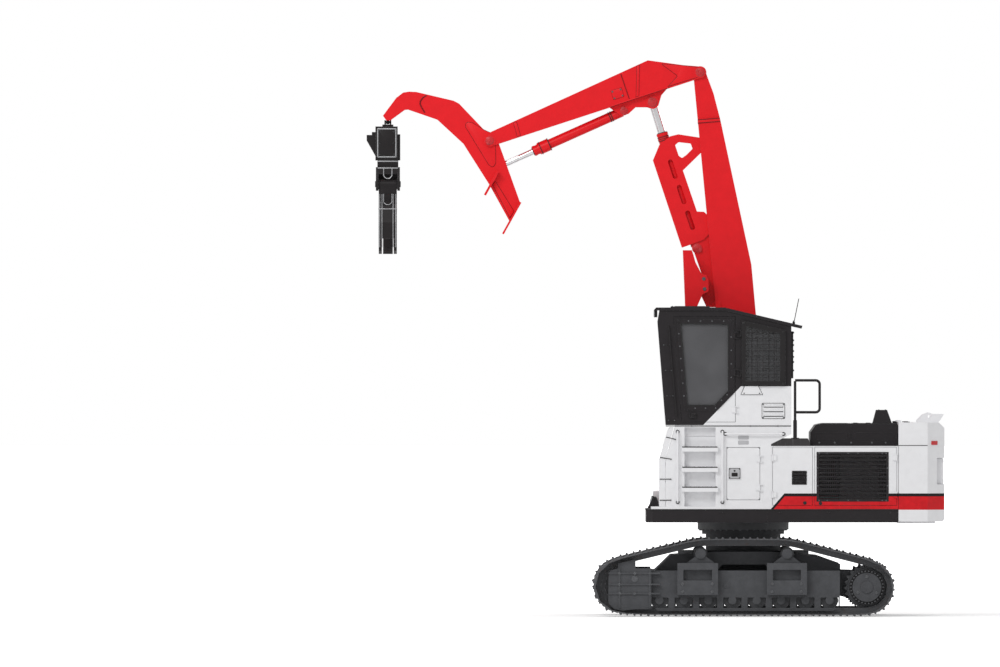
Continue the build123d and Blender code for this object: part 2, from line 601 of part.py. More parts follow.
def riser():
    """Raised base of the cab: a closed box with a tool locker and a recess for the ladder."""
    floor = DECK_TOP_Z + SEAT_GAP
    body = side_plate(
        [(-1200, floor), (-1200, 2390), (-1070, 2830), (-1055, RISER_TOP_Z),
         (CAB_REAR_X, RISER_TOP_Z), (CAB_REAR_X, 2790), (HOUSE_FRONT_X - SEAT_GAP, 2635),
         (HOUSE_FRONT_X - SEAT_GAP, floor)], CAB_OUTER_Y, CAB_INNER_Y)
    body += block(-1420, 420, CAB_OUTER_Y, CAB_INNER_Y, floor, floor + 40) - block(
        HOUSE_FRONT_X - SEAT_GAP, 421, CAB_OUTER_Y - 1, CAB_INNER_Y + 1, floor - 1, floor + 41)
    body += block(-1055, CAB_REAR_X, CAB_OUTER_Y, CAB_INNER_Y, RISER_TOP_Z, CAB_FLOOR_Z - SEAT_GAP)
    body -= block(LADDER_X[0], LADDER_X[1], CAB_OUTER_Y - 1, CAB_OUTER_Y + LADDER_RECESS,
                  floor + 40, RISER_TOP_Z)
    body -= block(LOCKER_X[0] - 40, LOCKER_X[1] + 40, CAB_OUTER_Y + WALL, CAB_INNER_Y - WALL,
                  LOCKER_Z[0] - 40, LOCKER_Z[1] + 20)
    body -= block(LOCKER_X[0] - DOOR_GAP, LOCKER_X[1] + DOOR_GAP, CAB_OUTER_Y - 1,
                  CAB_OUTER_Y + WALL + 1, LOCKER_Z[0] - DOOR_GAP, LOCKER_Z[1] + DOOR_GAP)
    return body + hinge_pins(*LOCKER_HINGE, CAB_OUTER_Y, LOCKER_HINGE_Z, 1)


def tool_door():
    """Locker door with its latch plate."""
    door = side_plate([(LOCKER_X[0], LOCKER_Z[0]), (LOCKER_X[1], LOCKER_Z[0]),
                       (LOCKER_X[1], LOCKER_Z[1]), (LOCKER_X[0], LOCKER_Z[1])],
                      CAB_OUTER_Y, CAB_OUTER_Y + WALL, LOCKER_CORNER)
    door += block(LOCKER_X[0] + 20, LOCKER_X[0] + 210, CAB_OUTER_Y - 12, CAB_OUTER_Y, 2095, 2275)
    return door + hinge_knuckles(*LOCKER_HINGE, CAB_OUTER_Y, LOCKER_HINGE_Z, -1)


def front_guard():
    """Bent box-section guard in front of the riser, on both of its edges, with cross bars."""
    outer = [(-1295, DECK_TOP_Z + 41), (-1295, 2400), (-1160, 2850), (-1130, RISER_TOP_Z),
             (-1075, RISER_TOP_Z), (-1205, 2390), (-1205, DECK_TOP_Z + 41)]
    side = side_plate(outer, CAB_OUTER_Y, CAB_OUTER_Y + 90)
    other = side_plate(outer, CAB_INNER_Y - 90, CAB_INNER_Y)
    bars = Part()
    for z in (1740, 2070, 2330):
        bars += block(-1290, -1205, CAB_OUTER_Y + 90, CAB_INNER_Y - 90, z - 30, z + 30)
    return side + other + bars


def ladder():
    """Serrated rungs across the recess in the riser."""
    low, high = LADDER_X[0] - 40, LADDER_X[1] + 40
    rungs = []
    for z in (1905, 2210, 2520):
        rung = block(low, high, CAB_OUTER_Y - 60, CAB_OUTER_Y - SEAT_GAP, z, z + 75)
        rung += block(LADDER_X[0] + 10, LADDER_X[1] - 10, CAB_OUTER_Y - SEAT_GAP,
                      CAB_OUTER_Y + LADDER_RECESS - SEAT_GAP, z, z + 60)
        rungs.append(rung)
    return rungs


def handrails():
    """Grab rails beside the ladder and along the top of the riser."""
    rail_y = CAB_OUTER_Y - GRAB_RAIL_OFFSET
    rails = []
    for x in (-1015, -330):
        rails.append(tube([(x, CAB_OUTER_Y - SEAT_GAP, 1745), (x, rail_y, 1745), (x, rail_y, 2825),
                           (x, CAB_OUTER_Y - SEAT_GAP, 2825)], 15, 30))
    rails.append(tube([(-285, CAB_OUTER_Y - SEAT_GAP, 2790), (-285, rail_y, 2790),
                       (605, rail_y, 2790), (605, CAB_OUTER_Y - SEAT_GAP, 2790)], 15, 30))
    return rails


def door_outline(gap=0):
    """The cab door, or its opening when gap is given."""
    return [(DOOR_FRONT_LOW_X - gap, CAB_FLOOR_Z + WALL + 5 - gap),
            (DOOR_FRONT_TOP_X - gap, DOOR_TOP_Z + gap),
            (DOOR_REAR_X + gap, DOOR_TOP_Z + gap), (DOOR_REAR_X + gap, CAB_FLOOR_Z + WALL + 5 - gap)]


def cab_shell():
    """Welded cab: floor, pillars and walls, with openings for the door and each window."""
    shell = side_plate(CAB_OUTLINE, CAB_OUTER_Y, CAB_INNER_Y)
    shell -= side_plate(CAB_INSIDE, CAB_OUTER_Y + WALL, CAB_INNER_Y - WALL)
    shell -= side_plate(door_outline(DOOR_GAP), CAB_OUTER_Y - 1, CAB_OUTER_Y + WALL + 1)
    shell -= side_plate(SIDE_WINDOW, CAB_OUTER_Y - 1, CAB_OUTER_Y + WALL + 1)
    # far side: one long window over the boom side
    shell -= side_plate([(-1080, 3250), (-1180, 4480), (-330, 4480), (600, 4300), (600, 3450),
                         (-60, 3450), (-260, 3250)], CAB_INNER_Y - WALL - 1, CAB_INNER_Y + 1)
    # windscreen, roof hatch and rear window
    shell -= block(-1420, -1000, CAB_OUTER_Y + 90, CAB_INNER_Y - 90, 3120, 4480)
    shell -= block(CAB_REAR_X - WALL - 1, CAB_REAR_X + 1, CAB_OUTER_Y + 130, CAB_INNER_Y - 130,
                   3700, 4300)
    # louvres low behind the side window
    for z in (3055, 3125, 3195):
        shell -= block(300, 600, CAB_OUTER_Y - 1, CAB_OUTER_Y + WALL + 1, z, z + 35)
    shell += hinge_pins(*CAB_DOOR_HINGE, CAB_OUTER_Y, CAB_DOOR_HINGE_Z, 1)
    return shell + hinge_pins(*GUARD_HINGE, CAB_OUTER_Y, GUARD_HINGE_Z, -1)


def cab_roof():
    """Thick roof cap, overhanging at the front and falling towards the rear."""
    return side_plate([(-1380, 4680 + SEAT_GAP), (-1340, 4725), (-295, 4725), (895, 4445),
                       (880, 4402), (-295, 4680 + SEAT_GAP)], CAB_OUTER_Y - 25, CAB_INNER_Y)


def work_lamps():
    """Two lamps low on the deck's nose and four under the front edge of the cab's roof."""
    lamps = []
    for y, low in ((CAB_OUTER_Y + 190, DECK_TOP_Z + 40 + 2 * SEAT_GAP), (350, DECK_TOP_Z + SEAT_GAP)):
        foot = side_plate([(-1470, low), (-1300, low), (-1300, 1700), (-1335, 1820), (-1375, 1820),
                           (-1440, 1700)], y - 60, y + 60)
        lamps.append(foot + side_plate([(-1435, 1725), (-1400, 1838), (-1365, 1827), (-1400, 1714)],
                                       y - 75, y + 75))
    for y in (-1330, -1110, -770, -550):
        lamps.append(block(-1372, -1325, y - 55, y + 55, 4575, 4680))
    return lamps


def cab_glass():
    """Panes set in the cab's openings."""
    inset = (WALL - GLASS_THICKNESS) / 2
    side = side_plate(SIDE_WINDOW, CAB_OUTER_Y + inset, CAB_OUTER_Y + inset + GLASS_THICKNESS)
    far = side_plate([(-1080, 3250), (-1180, 4480), (-330, 4480), (600, 4300), (600, 3450),
                      (-60, 3450), (-260, 3250)], CAB_INNER_Y - inset - GLASS_THICKNESS,
                     CAB_INNER_Y - inset)
    rear = block(CAB_REAR_X - inset - GLASS_THICKNESS, CAB_REAR_X - inset, CAB_OUTER_Y + 130,
                 CAB_INNER_Y - 130, 3700, 4300)
    lean = (-1320 + 1195) / (4510 - CAB_FLOOR_Z)
    foot = -1195 + lean * (3120 - CAB_FLOOR_Z) + 20
    head = -1195 + lean * (4480 - CAB_FLOOR_Z) + 20
    front = side_plate([(foot, 3120), (head, 4480), (head + GLASS_THICKNESS, 4480),
                        (foot + GLASS_THICKNESS, 3120)], CAB_OUTER_Y + 90, CAB_INNER_Y - 90)
    return [side, far, rear, front]


def cab_door():
    """Door frame round its tall window, with the raised flange of the window and a handle."""
    door = side_plate(door_outline(), CAB_OUTER_Y, CAB_OUTER_Y + WALL)
    flange = side_plate([(-915, 3150), (-1030, 4545), (-160, 4545), (-160, 3410), (-410, 3150)],
                        CAB_OUTER_Y - 14, CAB_OUTER_Y)
    door += flange
    door -= side_plate(DOOR_WINDOW, CAB_OUTER_Y - 20, CAB_OUTER_Y + WALL + 1, 25)
    door += block(-835, -730, CAB_OUTER_Y - 30, CAB_OUTER_Y, 3035, 3105)
    return door + hinge_knuckles(*CAB_DOOR_HINGE, CAB_OUTER_Y, CAB_DOOR_HINGE_Z, -1)


def cab_door_glass():
    inset = (WALL - GLASS_THICKNESS) / 2
    return side_plate(DOOR_WINDOW, CAB_OUTER_Y + inset, CAB_OUTER_Y + inset + GLASS_THICKNESS, 25)


def side_guard():
    """Hinged guard over the rear side window: a frame filled with a grid of bars."""
    outer = [(-35, 3535), (-35, 4530), (635, 4380), (635, 3535)]
    low, high = CAB_OUTER_Y - 46, CAB_OUTER_Y - MOVING_GAP
    frame = side_plate(outer, low, high) - side_plate(SIDE_WINDOW, low - 1, high + 1)
    bars = Part()
    x_low, x_high = SIDE_WINDOW[0][0], SIDE_WINDOW[2][0]
    for index in range(1, 6):
        x = x_low + (x_high - x_low) * index / 6
        bars += block(x - 6, x + 6, low + 12, low + 24, 3590, 4440)
    for index in range(1, 9):
        z = 3600 + (4435 - 3600) * index / 9
        bars += block(x_low - 5, x_high + 5, low + 12, low + 24, z - 6, z + 6)
    keep = side_plate([(20, 3590), (20, 4447), (560, 4333), (560, 3590)], low, high)
    for z in GUARD_HINGE_Z:
        frame += upright_pin(*GUARD_HINGE, z - HINGE_HALF, z + HINGE_HALF, HINGE_RADIUS)
        frame += block(GUARD_HINGE[0], -30, GUARD_HINGE[1] - 8, GUARD_HINGE[1] + 8, z - HINGE_HALF,
                       z + HINGE_HALF)
        frame -= upright_pin(*GUARD_HINGE, z - HINGE_HALF - 1, z + HINGE_HALF + 1,
                             HINGE_PIN_RADIUS + PIN_CLEARANCE)
    return frame + (bars & keep)


def operator_seat():
    """Suspension seat with armrest consoles, on the cab floor."""
    middle = (CAB_OUTER_Y + CAB_INNER_Y) / 2
    floor = CAB_FLOOR_Z + WALL + SEAT_GAP
    base = block(-420, 20, middle - 170, middle + 170, floor, floor + 380)
    cushion = block(-520, 60, middle - 250, middle + 250, floor + 380, floor + 500)
    back = side_plate([(-40, floor + 450), (110, floor + 450), (230, floor + 1180),
                       (120, floor + 1200)], middle - 240, middle + 240)
    seat = base + cushion + back
    for face in (-1, 1):
        arm = sorted((middle + face * 260, middle + face * 345))
        seat += block(-560, 40, arm[0], arm[1], floor + 560, floor + 640)
        seat += block(-60, 30, arm[0], arm[1], floor + 380, floor + 560)
        seat += block(-60, 30, *sorted((middle + face * 240, middle + face * 345)), floor + 400,
                      floor + 460)
        seat += Pos(-500, middle + face * 302, floor + 720) * Cylinder(18, 160)
    return seat


def rear_handrail():
    """Upright post behind the cab with a rounded loop at its top."""
    y = CAB_OUTER_Y + 45
    post = Pos(782, y, 3160) * Cylinder(20, 2 * (3600 - 3160))
    sleeve = Pos(782, y, 2860) * Cylinder(29, 280)
    loop = tube([(782, y, 3122), (1158, y, 3122), (1158, y, 3610), (782, y, 3610)], 20, 60)
    foot = Pos(782, y, 2726) * Cylinder(60, 12 - 2 * SEAT_GAP)
    return post + sleeve + loop + foot


def antenna():
    whip = Plane(origin=(762, CAB_OUTER_Y + 60, 4478), z_dir=(75, 0, 370)) * Pos(0, 0, 195) * Cylinder(
        6, 390)
    base = upright_pin(762, CAB_OUTER_Y + 60, 4450, 4505, 20)
    return whip + base - Pos(0, 0, SEAT_GAP) * cab_roof()


# ---------------------------------------------------------------- engine house and counterweight


def engine_house():
    """Sheet housing round the engine, with a smaller bay beside the cab, open at each door."""
    floor = DECK_TOP_Z + SEAT_GAP
    side = DECK_HALF_WIDTH
    rear = DECK_REAR_X - SEAT_GAP
    body = block(HOUSE_SPLIT_X, rear, -side, side, floor, HOUSE_TOP_Z)
    body += block(HOUSE_FRONT_X, HOUSE_SPLIT_X, -side, CAB_INNER_Y, floor, HOUSE_TOP_Z)
    body -= block(HOUSE_SPLIT_X + 40, rear - 40, -side + 40, side - 40, floor + 20, HOUSE_TOP_Z - 40)
    body -= block(HOUSE_FRONT_X + 40, HOUSE_SPLIT_X - 30, -side + 40, CAB_INNER_Y - 40, floor + 20,
                  HOUSE_TOP_Z - 40)
    low, high = HOUSE_DOOR_Z[0] - DOOR_GAP, HOUSE_DOOR_Z[1] + DOOR_GAP
    for front, back in (FRONT_DOOR_X, REAR_DOOR_X):
        body -= block(front - DOOR_GAP, back + DOOR_GAP, -side - 1, -side + 41, low, high)
    body -= block(PUMP_DOOR_X[0] - DOOR_GAP, PUMP_DOOR_X[1] + DOOR_GAP, side - 41, side + 1, low, high)
    body -= block(1180, 2240, -HOOD_HALF_WIDTH + 120, HOOD_HALF_WIDTH - 120, HOUSE_TOP_Z - 41,
                  HOUSE_TOP_Z + 1)
    for hinge_x, toward in ((FRONT_HINGE_X, -1), (REAR_HINGE_X, 1)):
        body += hinge_pins(hinge_x, HOUSE_HINGE_Y, -side, HOUSE_HINGE_Z, toward) & block(
            HOUSE_FRONT_X, rear, -side - 100, -side, floor, HOUSE_TOP_Z)
    pump = hinge_pins(PUMP_HINGE_X, HOUSE_HINGE_Y, -side, HOUSE_HINGE_Z, 1) & block(
        HOUSE_FRONT_X, rear, -side - 100, -side, floor, HOUSE_TOP_Z)
    return body + mirror(pump, about=Plane.XZ)


def house_door(span, hinge_x):
    """Plain door on the -Y side, hung on two hinges."""
    door = block(span[0], span[1], -DECK_HALF_WIDTH, -DECK_HALF_WIDTH + 40, *HOUSE_DOOR_Z)
    inward = 1 if hinge_x < sum(span) / 2 else -1
    return door + hinge_knuckles(hinge_x, HOUSE_HINGE_Y, -DECK_HALF_WIDTH, HOUSE_HINGE_Z, inward)


def engine_door_front():
    door = house_door(FRONT_DOOR_X, FRONT_HINGE_X)
    for index in range(5):
        z = 2030 + index * 40
        door -= block(735, 960, -DECK_HALF_WIDTH - 1, -DECK_HALF_WIDTH + 41, z, z + 22)
    return door


def engine_door_rear():
    """Door with the large cooling grille: a rounded frame filled with level slats."""
    door = house_door(REAR_DOOR_X, REAR_HINGE_X)
    door -= side_plate([(GRILLE_X[0], GRILLE_Z[0]), (GRILLE_X[1], GRILLE_Z[0]),
                        (GRILLE_X[1], GRILLE_Z[1]), (GRILLE_X[0], GRILLE_Z[1])],
                       -DECK_HALF_WIDTH - 1, -DECK_HALF_WIDTH + 41, GRILLE_CORNER)
    for index in range(1, 12):
        z = GRILLE_Z[0] + (GRILLE_Z[1] - GRILLE_Z[0]) * index / 12
        door += block(GRILLE_X[0] - 5, GRILLE_X[1] + 5, -DECK_HALF_WIDTH + 8, -DECK_HALF_WIDTH + 30,
                      z - 16, z + 16)
    return door


def pump_door():
    return mirror(house_door(PUMP_DOOR_X, PUMP_HINGE_X), about=Plane.XZ)


def hood():
    """Domed engine hood, a shell open below, hinged along its rear edge."""
    rear = DECK_REAR_X - MOVING_GAP - 2
    outline = [(HOOD_FRONT_X, HOUSE_TOP_Z + SEAT_GAP), (HOOD_FRONT_X, 2810), (1100, 2925),
               (1180, HOOD_TOP_Z), (rear, HOOD_TOP_Z), (rear, HOUSE_TOP_Z + SEAT_GAP)]
    inside = [(HOOD_FRONT_X + 40, 2500), (HOOD_FRONT_X + 40, 2795), (1120, 2885), (1190, 2905),
              (rear - 40, 2905), (rear - 40, 2500)]
    shell = side_plate(outline, -HOOD_HALF_WIDTH, HOOD_HALF_WIDTH)
    shell -= side_plate(inside, -HOOD_HALF_WIDTH + 40, HOOD_HALF_WIDTH - 40)
    for y in HOOD_HINGE_Y:
        shell += cross_pin(HOOD_HINGE, y - HINGE_HALF, y + HINGE_HALF, HINGE_RADIUS)
        shell += block(HOOD_HINGE[0] - HINGE_LEAF, HOOD_HINGE[0], y - HINGE_HALF, y + HINGE_HALF,
                       HOOD_TOP_Z - 10, HOOD_HINGE[1])
        shell -= cross_pin(HOOD_HINGE, y - HINGE_HALF - 1, y + HINGE_HALF + 1,
                           HINGE_PIN_RADIUS + PIN_CLEARANCE)
    return shell - block(HOOD_HINGE[0], HOOD_HINGE[0] + 9, -HOOD_HALF_WIDTH, HOOD_HALF_WIDTH, 2940,
                         HOOD_HINGE[1] - HINGE_RADIUS)


def air_intake():
    """Tapered intake cap on the hood."""
    base = Plane.XY.offset(HOOD_TOP_Z + SEAT_GAP) * Pos(2130, -300) * Rectangle(300, 420)
    top = Plane.XY.offset(3155) * Pos(2120, -300) * Rectangle(170, 260)
    return loft([base, top])


def walkway_cover():
    low = HOUSE_TOP_Z + SEAT_GAP
    return side_plate([(420, low), (425, 2630), (600, 2720), (980, 2720), (1012, 2640), (1012, low)],
                      CAB_OUTER_Y, CAB_INNER_Y)


def engine_block():
    return block(1480, 2080, -850, 650, DECK_TOP_Z + 20 + 2 * SEAT_GAP, 2480)


def counterweight():
    """Cast weight: a rounded plan cut by the side profile, with a recess across its rear."""
    front = DECK_REAR_X + 5
    side = side_plate([(front, COUNTERWEIGHT_LOW_Z), (3040, COUNTERWEIGHT_LOW_Z), (3070, 1480),
                       (3070, 2020), (2955, 2020), (2955, 2420), (3070, 2420), (3070, 2880),
                       (2985, COUNTERWEIGHT_TOP_Z), (front, COUNTERWEIGHT_TOP_Z)],
                      -DECK_HALF_WIDTH, DECK_HALF_WIDTH)
    corner = 260
    plan = top_plate([(front, -DECK_HALF_WIDTH), (COUNTERWEIGHT_REAR_X - corner, -DECK_HALF_WIDTH),
                      (COUNTERWEIGHT_REAR_X, -DECK_HALF_WIDTH + corner),
                      (COUNTERWEIGHT_REAR_X, DECK_HALF_WIDTH - corner),
                      (COUNTERWEIGHT_REAR_X - corner, DECK_HALF_WIDTH), (front, DECK_HALF_WIDTH)],
                     1400, 3000)
    weight = side & plan
    weight += block(front, 2935, -900, 900, COUNTERWEIGHT_LOW_Z - 30, COUNTERWEIGHT_LOW_Z)
    # tongue under the deck that it bolts to
    weight += block(DECK_REAR_X + SEAT_GAP, front, -1000, 1000, DECK_LOW_Z + 20, DECK_TOP_Z + 400)
    # fixed halves of the hood's hinges
    for y in HOOD_HINGE_Y:
        weight += cross_pin(HOOD_HINGE, y - HINGE_HALF - 12, y + HINGE_HALF + 12, HINGE_PIN_RADIUS)
        for low in (y - HINGE_HALF - 13, y + HINGE_HALF + 1):
            weight += cross_pin(HOOD_HINGE, low, low + 12, HINGE_RADIUS)
            weight += block(front, front + HINGE_LEAF, low, low + 12, COUNTERWEIGHT_TOP_Z,
                            HOOD_HINGE[1] + HINGE_RADIUS)
            weight += block(HOOD_HINGE[0], front, low, low + 12, HOOD_HINGE[1] - HINGE_RADIUS,
                            HOOD_HINGE[1] + HINGE_RADIUS)
    return weight


def lifting_brackets():
    """Hooked plates on top of the counterweight, each with its lifting eye."""
    floor = COUNTERWEIGHT_TOP_Z + SEAT_GAP
    brackets = []
    for side in (-1, 1):
        plate = side_plate(
            [(2670, floor), (2670, 2995), (2755, 3080), (2850, 3115), (2900, 3090), (3070, 3090),
             (3010, 2995), (2980, floor)], side * LIFT_EYE_Y - 15, side * LIFT_EYE_Y + 15)
        plate -= cross_pin((LIFT_EYE_X, LIFT_EYE_Z), side * LIFT_EYE_Y - 16,
                           side * LIFT_EYE_Y + 16, LIFT_EYE_RADIUS)
        brackets.append(plate)
    return brackets


def fuel_tank():
    tank = block(-480, 395, -CAB_INNER_Y + 20, DECK_HALF_WIDTH - 15, DECK_TOP_Z + SEAT_GAP, 2500)
    tank = fillet(tank.edges().filter_by(Axis.X), 60)
    return tank + Pos(-250, 1200, 2520) * Cylinder(70, 60)


def hydraulic_tank():
    tank = block(430, HOUSE_SPLIT_X - 20, -CAB_INNER_Y + 20, DECK_HALF_WIDTH - 15,
                 DECK_TOP_Z + SEAT_GAP, 2560)
    return fillet(tank.edges().filter_by(Axis.Z), 50)


def tool_box():
    """Stepped box at the front corner, the way up to the tanks."""
    floor = DECK_TOP_Z + SEAT_GAP
    return side_plate([(-1380, floor), (-1380, 1900), (-1080, 1900), (-1080, 2180), (-520, 2180),
                       (-520, floor)], -CAB_INNER_Y + 20, DECK_HALF_WIDTH - 100)


# ---------------------------------------------------------------- boom, stick and heel


def clearance_slot(centre, radius, half_width):
    return cross_pin(centre, -half_width, half_width, radius)


def inner_outline(outline, inset):
    return offset(side_face(outline), -inset, kind=Kind.INTERSECTION)


def box_section(outline, half_width, inset=BOX_PLATE):
    """A closed box of plates: an outline carried across, hollow inside."""
    body = side_plate(outline, -half_width, half_width)
    inside = Plane.XZ.offset(-(half_width - inset)) * inner_outline(outline, inset)
    return body - extrude(inside, 2 * (half_width - inset))


def boom():
    """Main boom: a hollow box, narrower above its weld band, with the lugs of both cylinders."""
    split_z = 7560
    lower = [(-1200, 1500), (900, 1500), (900, split_z), (-1200, split_z)]
    upper = [(-1200, split_z), (900, split_z), (900, 8600), (-1200, 8600)]
    body = box_section(BOOM_OUTLINE, BOOM_HALF_WIDTH) & side_plate(lower, -500, 500)
    body += box_section(BOOM_OUTLINE, BOOM_TOP_HALF_WIDTH) & side_plate(upper, -500, 500)
    wall = side_plate(BOOM_OUTLINE, -BOOM_HALF_WIDTH, BOOM_HALF_WIDTH)
    body += wall & block(-1200, 900, -500, 500, split_z, split_z + 60)
    # foot and tip bosses
    body += cross_pin(BOOM_FOOT, -BOOM_HALF_WIDTH, BOOM_HALF_WIDTH, 140)
    body -= cross_pin(BOOM_FOOT, -500, 500, PIN_RADIUS + PIN_CLEARANCE)
    body += cross_pin(BOOM_TIP, -BOOM_TOP_HALF_WIDTH, BOOM_TOP_HALF_WIDTH, 95)
    body -= cross_pin(BOOM_TIP, -500, 500, PIN_RADIUS + PIN_CLEARANCE)
    # lugs of the hoist cylinders
    pin_x, pin_z = HOIST_PIN
    lug = side_plate([(-350, pin_z + 420), (pin_x - 60, pin_z + 80), (pin_x - 90, pin_z),
                      (pin_x - 30, pin_z - 90), (-300, pin_z - 420)], BOOM_HALF_WIDTH,
                     HOIST_Y - HOIST_BARREL_RADIUS - COLLAR - MOVING_GAP)
    body += both_sides(lug)
    eye_face = HOIST_Y - HOIST_EYE_HALF - MOVING_GAP
    body += both_sides(cross_pin(HOIST_PIN, BOOM_HALF_WIDTH, eye_face, 88))
    # bracket of the stick cylinder
    base_x, base_z = STICK_CYLINDER_BASE
    bracket = side_plate([(-400, 4730), (-500, 5900), (-795, 5805), (base_x - 79, base_z),
                          (base_x - 45, base_z - 65), (-640, 5250), (-640, 4900), (-560, 4730)],
                         STICK_LUG_INNER, STICK_LUG_INNER + LUG_PLATE)
    body += both_sides(bracket)
    for side in (-1, 1):
        ends = sorted((side * STICK_LUG_INNER, side * (STICK_LUG_INNER + LUG_PLATE + 14)))
        body += cross_pin(STICK_CYLINDER_BASE, ends[0], ends[1], 79)
    body += cross_pin(STICK_CYLINDER_BASE, -STICK_LUG_INNER, STICK_LUG_INNER, PIN_RADIUS)
    return body


def stick_cylinder_guard():
    """Two slotted plates beside the stick cylinder, joined along their front edge."""
    outline = [(-1120, 7355), (-995, 7385), (boom_front(7335), 7335), (boom_front(7100), 7100),
               (-925, 6830), (-710, 6200), (boom_front(6155) - 45, 6195), (boom_front(6155), 6155),
               (boom_front(5850), 5850), (-605, 5770), (-795, 5695), (-940, 5645),
               (-1385, 6985), (-1285, 7225)]
    opening = [(-1045, 7220), (-990, 7265), (-805, 7245), (-775, 7165), (-875, 7065), (-940, 7020),
               (-990, 7055)]
    inner = STICK_LUG_INNER + LUG_PLATE + 14 + SEAT_GAP
    plate = side_plate(outline, inner, inner + 15) - side_plate(opening, inner - 1, inner + 16, 20)
    lean = math.degrees(math.atan2(-1385 + 940, 6985 - 5645))
    for x, z in ((-1080, 6850), (-945, 6460), (-815, 6065)):
        slot = Plane.XZ.offset(-inner - 16) * Pos(x, z) * Rot(0, 0, -lean) * SlotOverall(
            310, 75, rotation=90)
        plate -= extrude(slot, 17)
    face = side_plate([(-940, 5645), (-1385, 6985), (-1371, 6990), (-926, 5650)], -inner - 15,
                      inner + 15)
    return Part() + both_sides(plate) + face


def boom_front(z):
    """Just in front of the boom's long front face, at height z."""
    (x1, z1), (x2, z2) = BOOM_OUTLINE[2:4]
    return x1 + (x2 - x1) * (z - z1) / (z2 - z1) - SEAT_GAP


def hoist_guard():
    """Channel in front of the hoist cylinders' pins, spaced off the stick cylinder's bracket."""
    outline = [(-925, 5605), (-790, 5605), (-765, 5530), (-735, 5420), (-645, 5250), (-565, 5220),
               (-535, 5145), (-535, 4975), (-625, 4930), (-720, 4715), (-760, 4250), (-870, 4250)]
    inner = hoist_guard_y()
    plate = side_plate(outline, inner, inner + 15)
    face = side_plate([(-925, 5605), (-870, 4250), (-855, 4250), (-910, 5605)], -inner - 15,
                      inner + 15)
    spacer = side_plate([(-636, 4960), (-560, 4960), (-560, 5210), (-636, 5210)],
                        STICK_LUG_INNER + LUG_PLATE + SEAT_GAP, inner)
    return Part() + both_sides(plate) + both_sides(spacer) + face


def hoist_guard_y():
    return HOIST_Y + HOIST_BARREL_RADIUS + 8


def barrel(start, end, y, radius, rod_radius, length, eye_radius, eye_half, pin_radius):
    """A cylinder's barrel from its base eye, bored for its rod."""
    body = turned(start, end, y, (eye_radius / 2, length, radius),
                  (length - 110, length - 70, radius + COLLAR), (length - 40, length, radius + COLLAR))
    body += cross_pin(start, y - eye_half, y + eye_half, eye_radius)
    body -= turned(start, end, y, (CYLINDER_DEAD_END, length + 1, rod_radius + PIN_CLEARANCE))
    across = max(radius, eye_half) + 1
    return body - cross_pin(start, y - across, y + across, pin_radius + PIN_CLEARANCE)


def rod(start, end, y, rod_radius, tail, eye_radius, eye_half):
    """A cylinder's rod, from inside its barrel to the closed eye at its far end."""
    length = distance(start, end)
    body = turned(start, end, y, (tail, length, rod_radius))
    return body + cross_pin(end, y - eye_half, y + eye_half, eye_radius)


def hoist_barrels():
    piece = barrel(HOIST_BASE, HOIST_PIN, HOIST_Y, HOIST_BARREL_RADIUS, HOIST_ROD_RADIUS,
                   HOIST_BARREL_LENGTH, 95, HOIST_EYE_HALF, PIN_RADIUS)
    return both_sides(piece)


def hoist_rods():
    return both_sides(rod(HOIST_BASE, HOIST_PIN, HOIST_Y, HOIST_ROD_RADIUS, HOIST_TAIL, 85,
                          HOIST_EYE_HALF))


def stick_barrel():
    return barrel(STICK_CYLINDER_BASE, STICK_CYLINDER_PIN, 0, STICK_BARREL_RADIUS, STICK_ROD_RADIUS,
                  STICK_BARREL_LENGTH, 78, EYE_HALF_WIDTH, PIN_RADIUS)


def stick_rod():
    return rod(STICK_CYLINDER_BASE, STICK_CYLINDER_PIN, 0, STICK_ROD_RADIUS, STICK_TAIL, 78,
               EYE_HALF_WIDTH)


def stick():
    """Tapered hollow stick, forked at both ends, with the lugs of both cylinders under it."""
    body = box_section(STICK_OUTLINE, STICK_HALF_WIDTH)
    for centre, radius, slot in ((BOOM_TIP, 430, BOOM_TOP_HALF_WIDTH + MOVING_GAP),
                                 (STICK_END, 330, HEEL_HALF_WIDTH + MOVING_GAP)):
        body -= clearance_slot(centre, radius, slot)
        body += clearance_slot(centre, radius, STICK_HALF_WIDTH) & side_plate(
            STICK_OUTLINE, slot, STICK_HALF_WIDTH)
        body += clearance_slot(centre, radius, STICK_HALF_WIDTH) & side_plate(
            STICK_OUTLINE, -STICK_HALF_WIDTH, -slot)
        for side in (-1, 1):
            ends = sorted((side * slot, side * (STICK_HALF_WIDTH + 12)))
            body += cross_pin(centre, ends[0], ends[1], 87)
        body += cross_pin(centre, -STICK_HALF_WIDTH, STICK_HALF_WIDTH, PIN_RADIUS)
    body += both_sides(side_plate(LUG_OUTLINE, STICK_LUG_INNER, STICK_LUG_INNER + LUG_PLATE))
    for side in (-1, 1):
        ends = sorted((side * STICK_LUG_INNER, side * (STICK_LUG_INNER + LUG_PLATE + 14)))
        body += cross_pin(STICK_CYLINDER_PIN, ends[0], ends[1], 98)
        body += cross_pin(HEEL_CYLINDER_BASE, ends[0], ends[1], 62)
    return body + cross_pin(HEEL_CYLINDER_BASE, -STICK_LUG_INNER, STICK_LUG_INNER, HEEL_PIN_RADIUS)


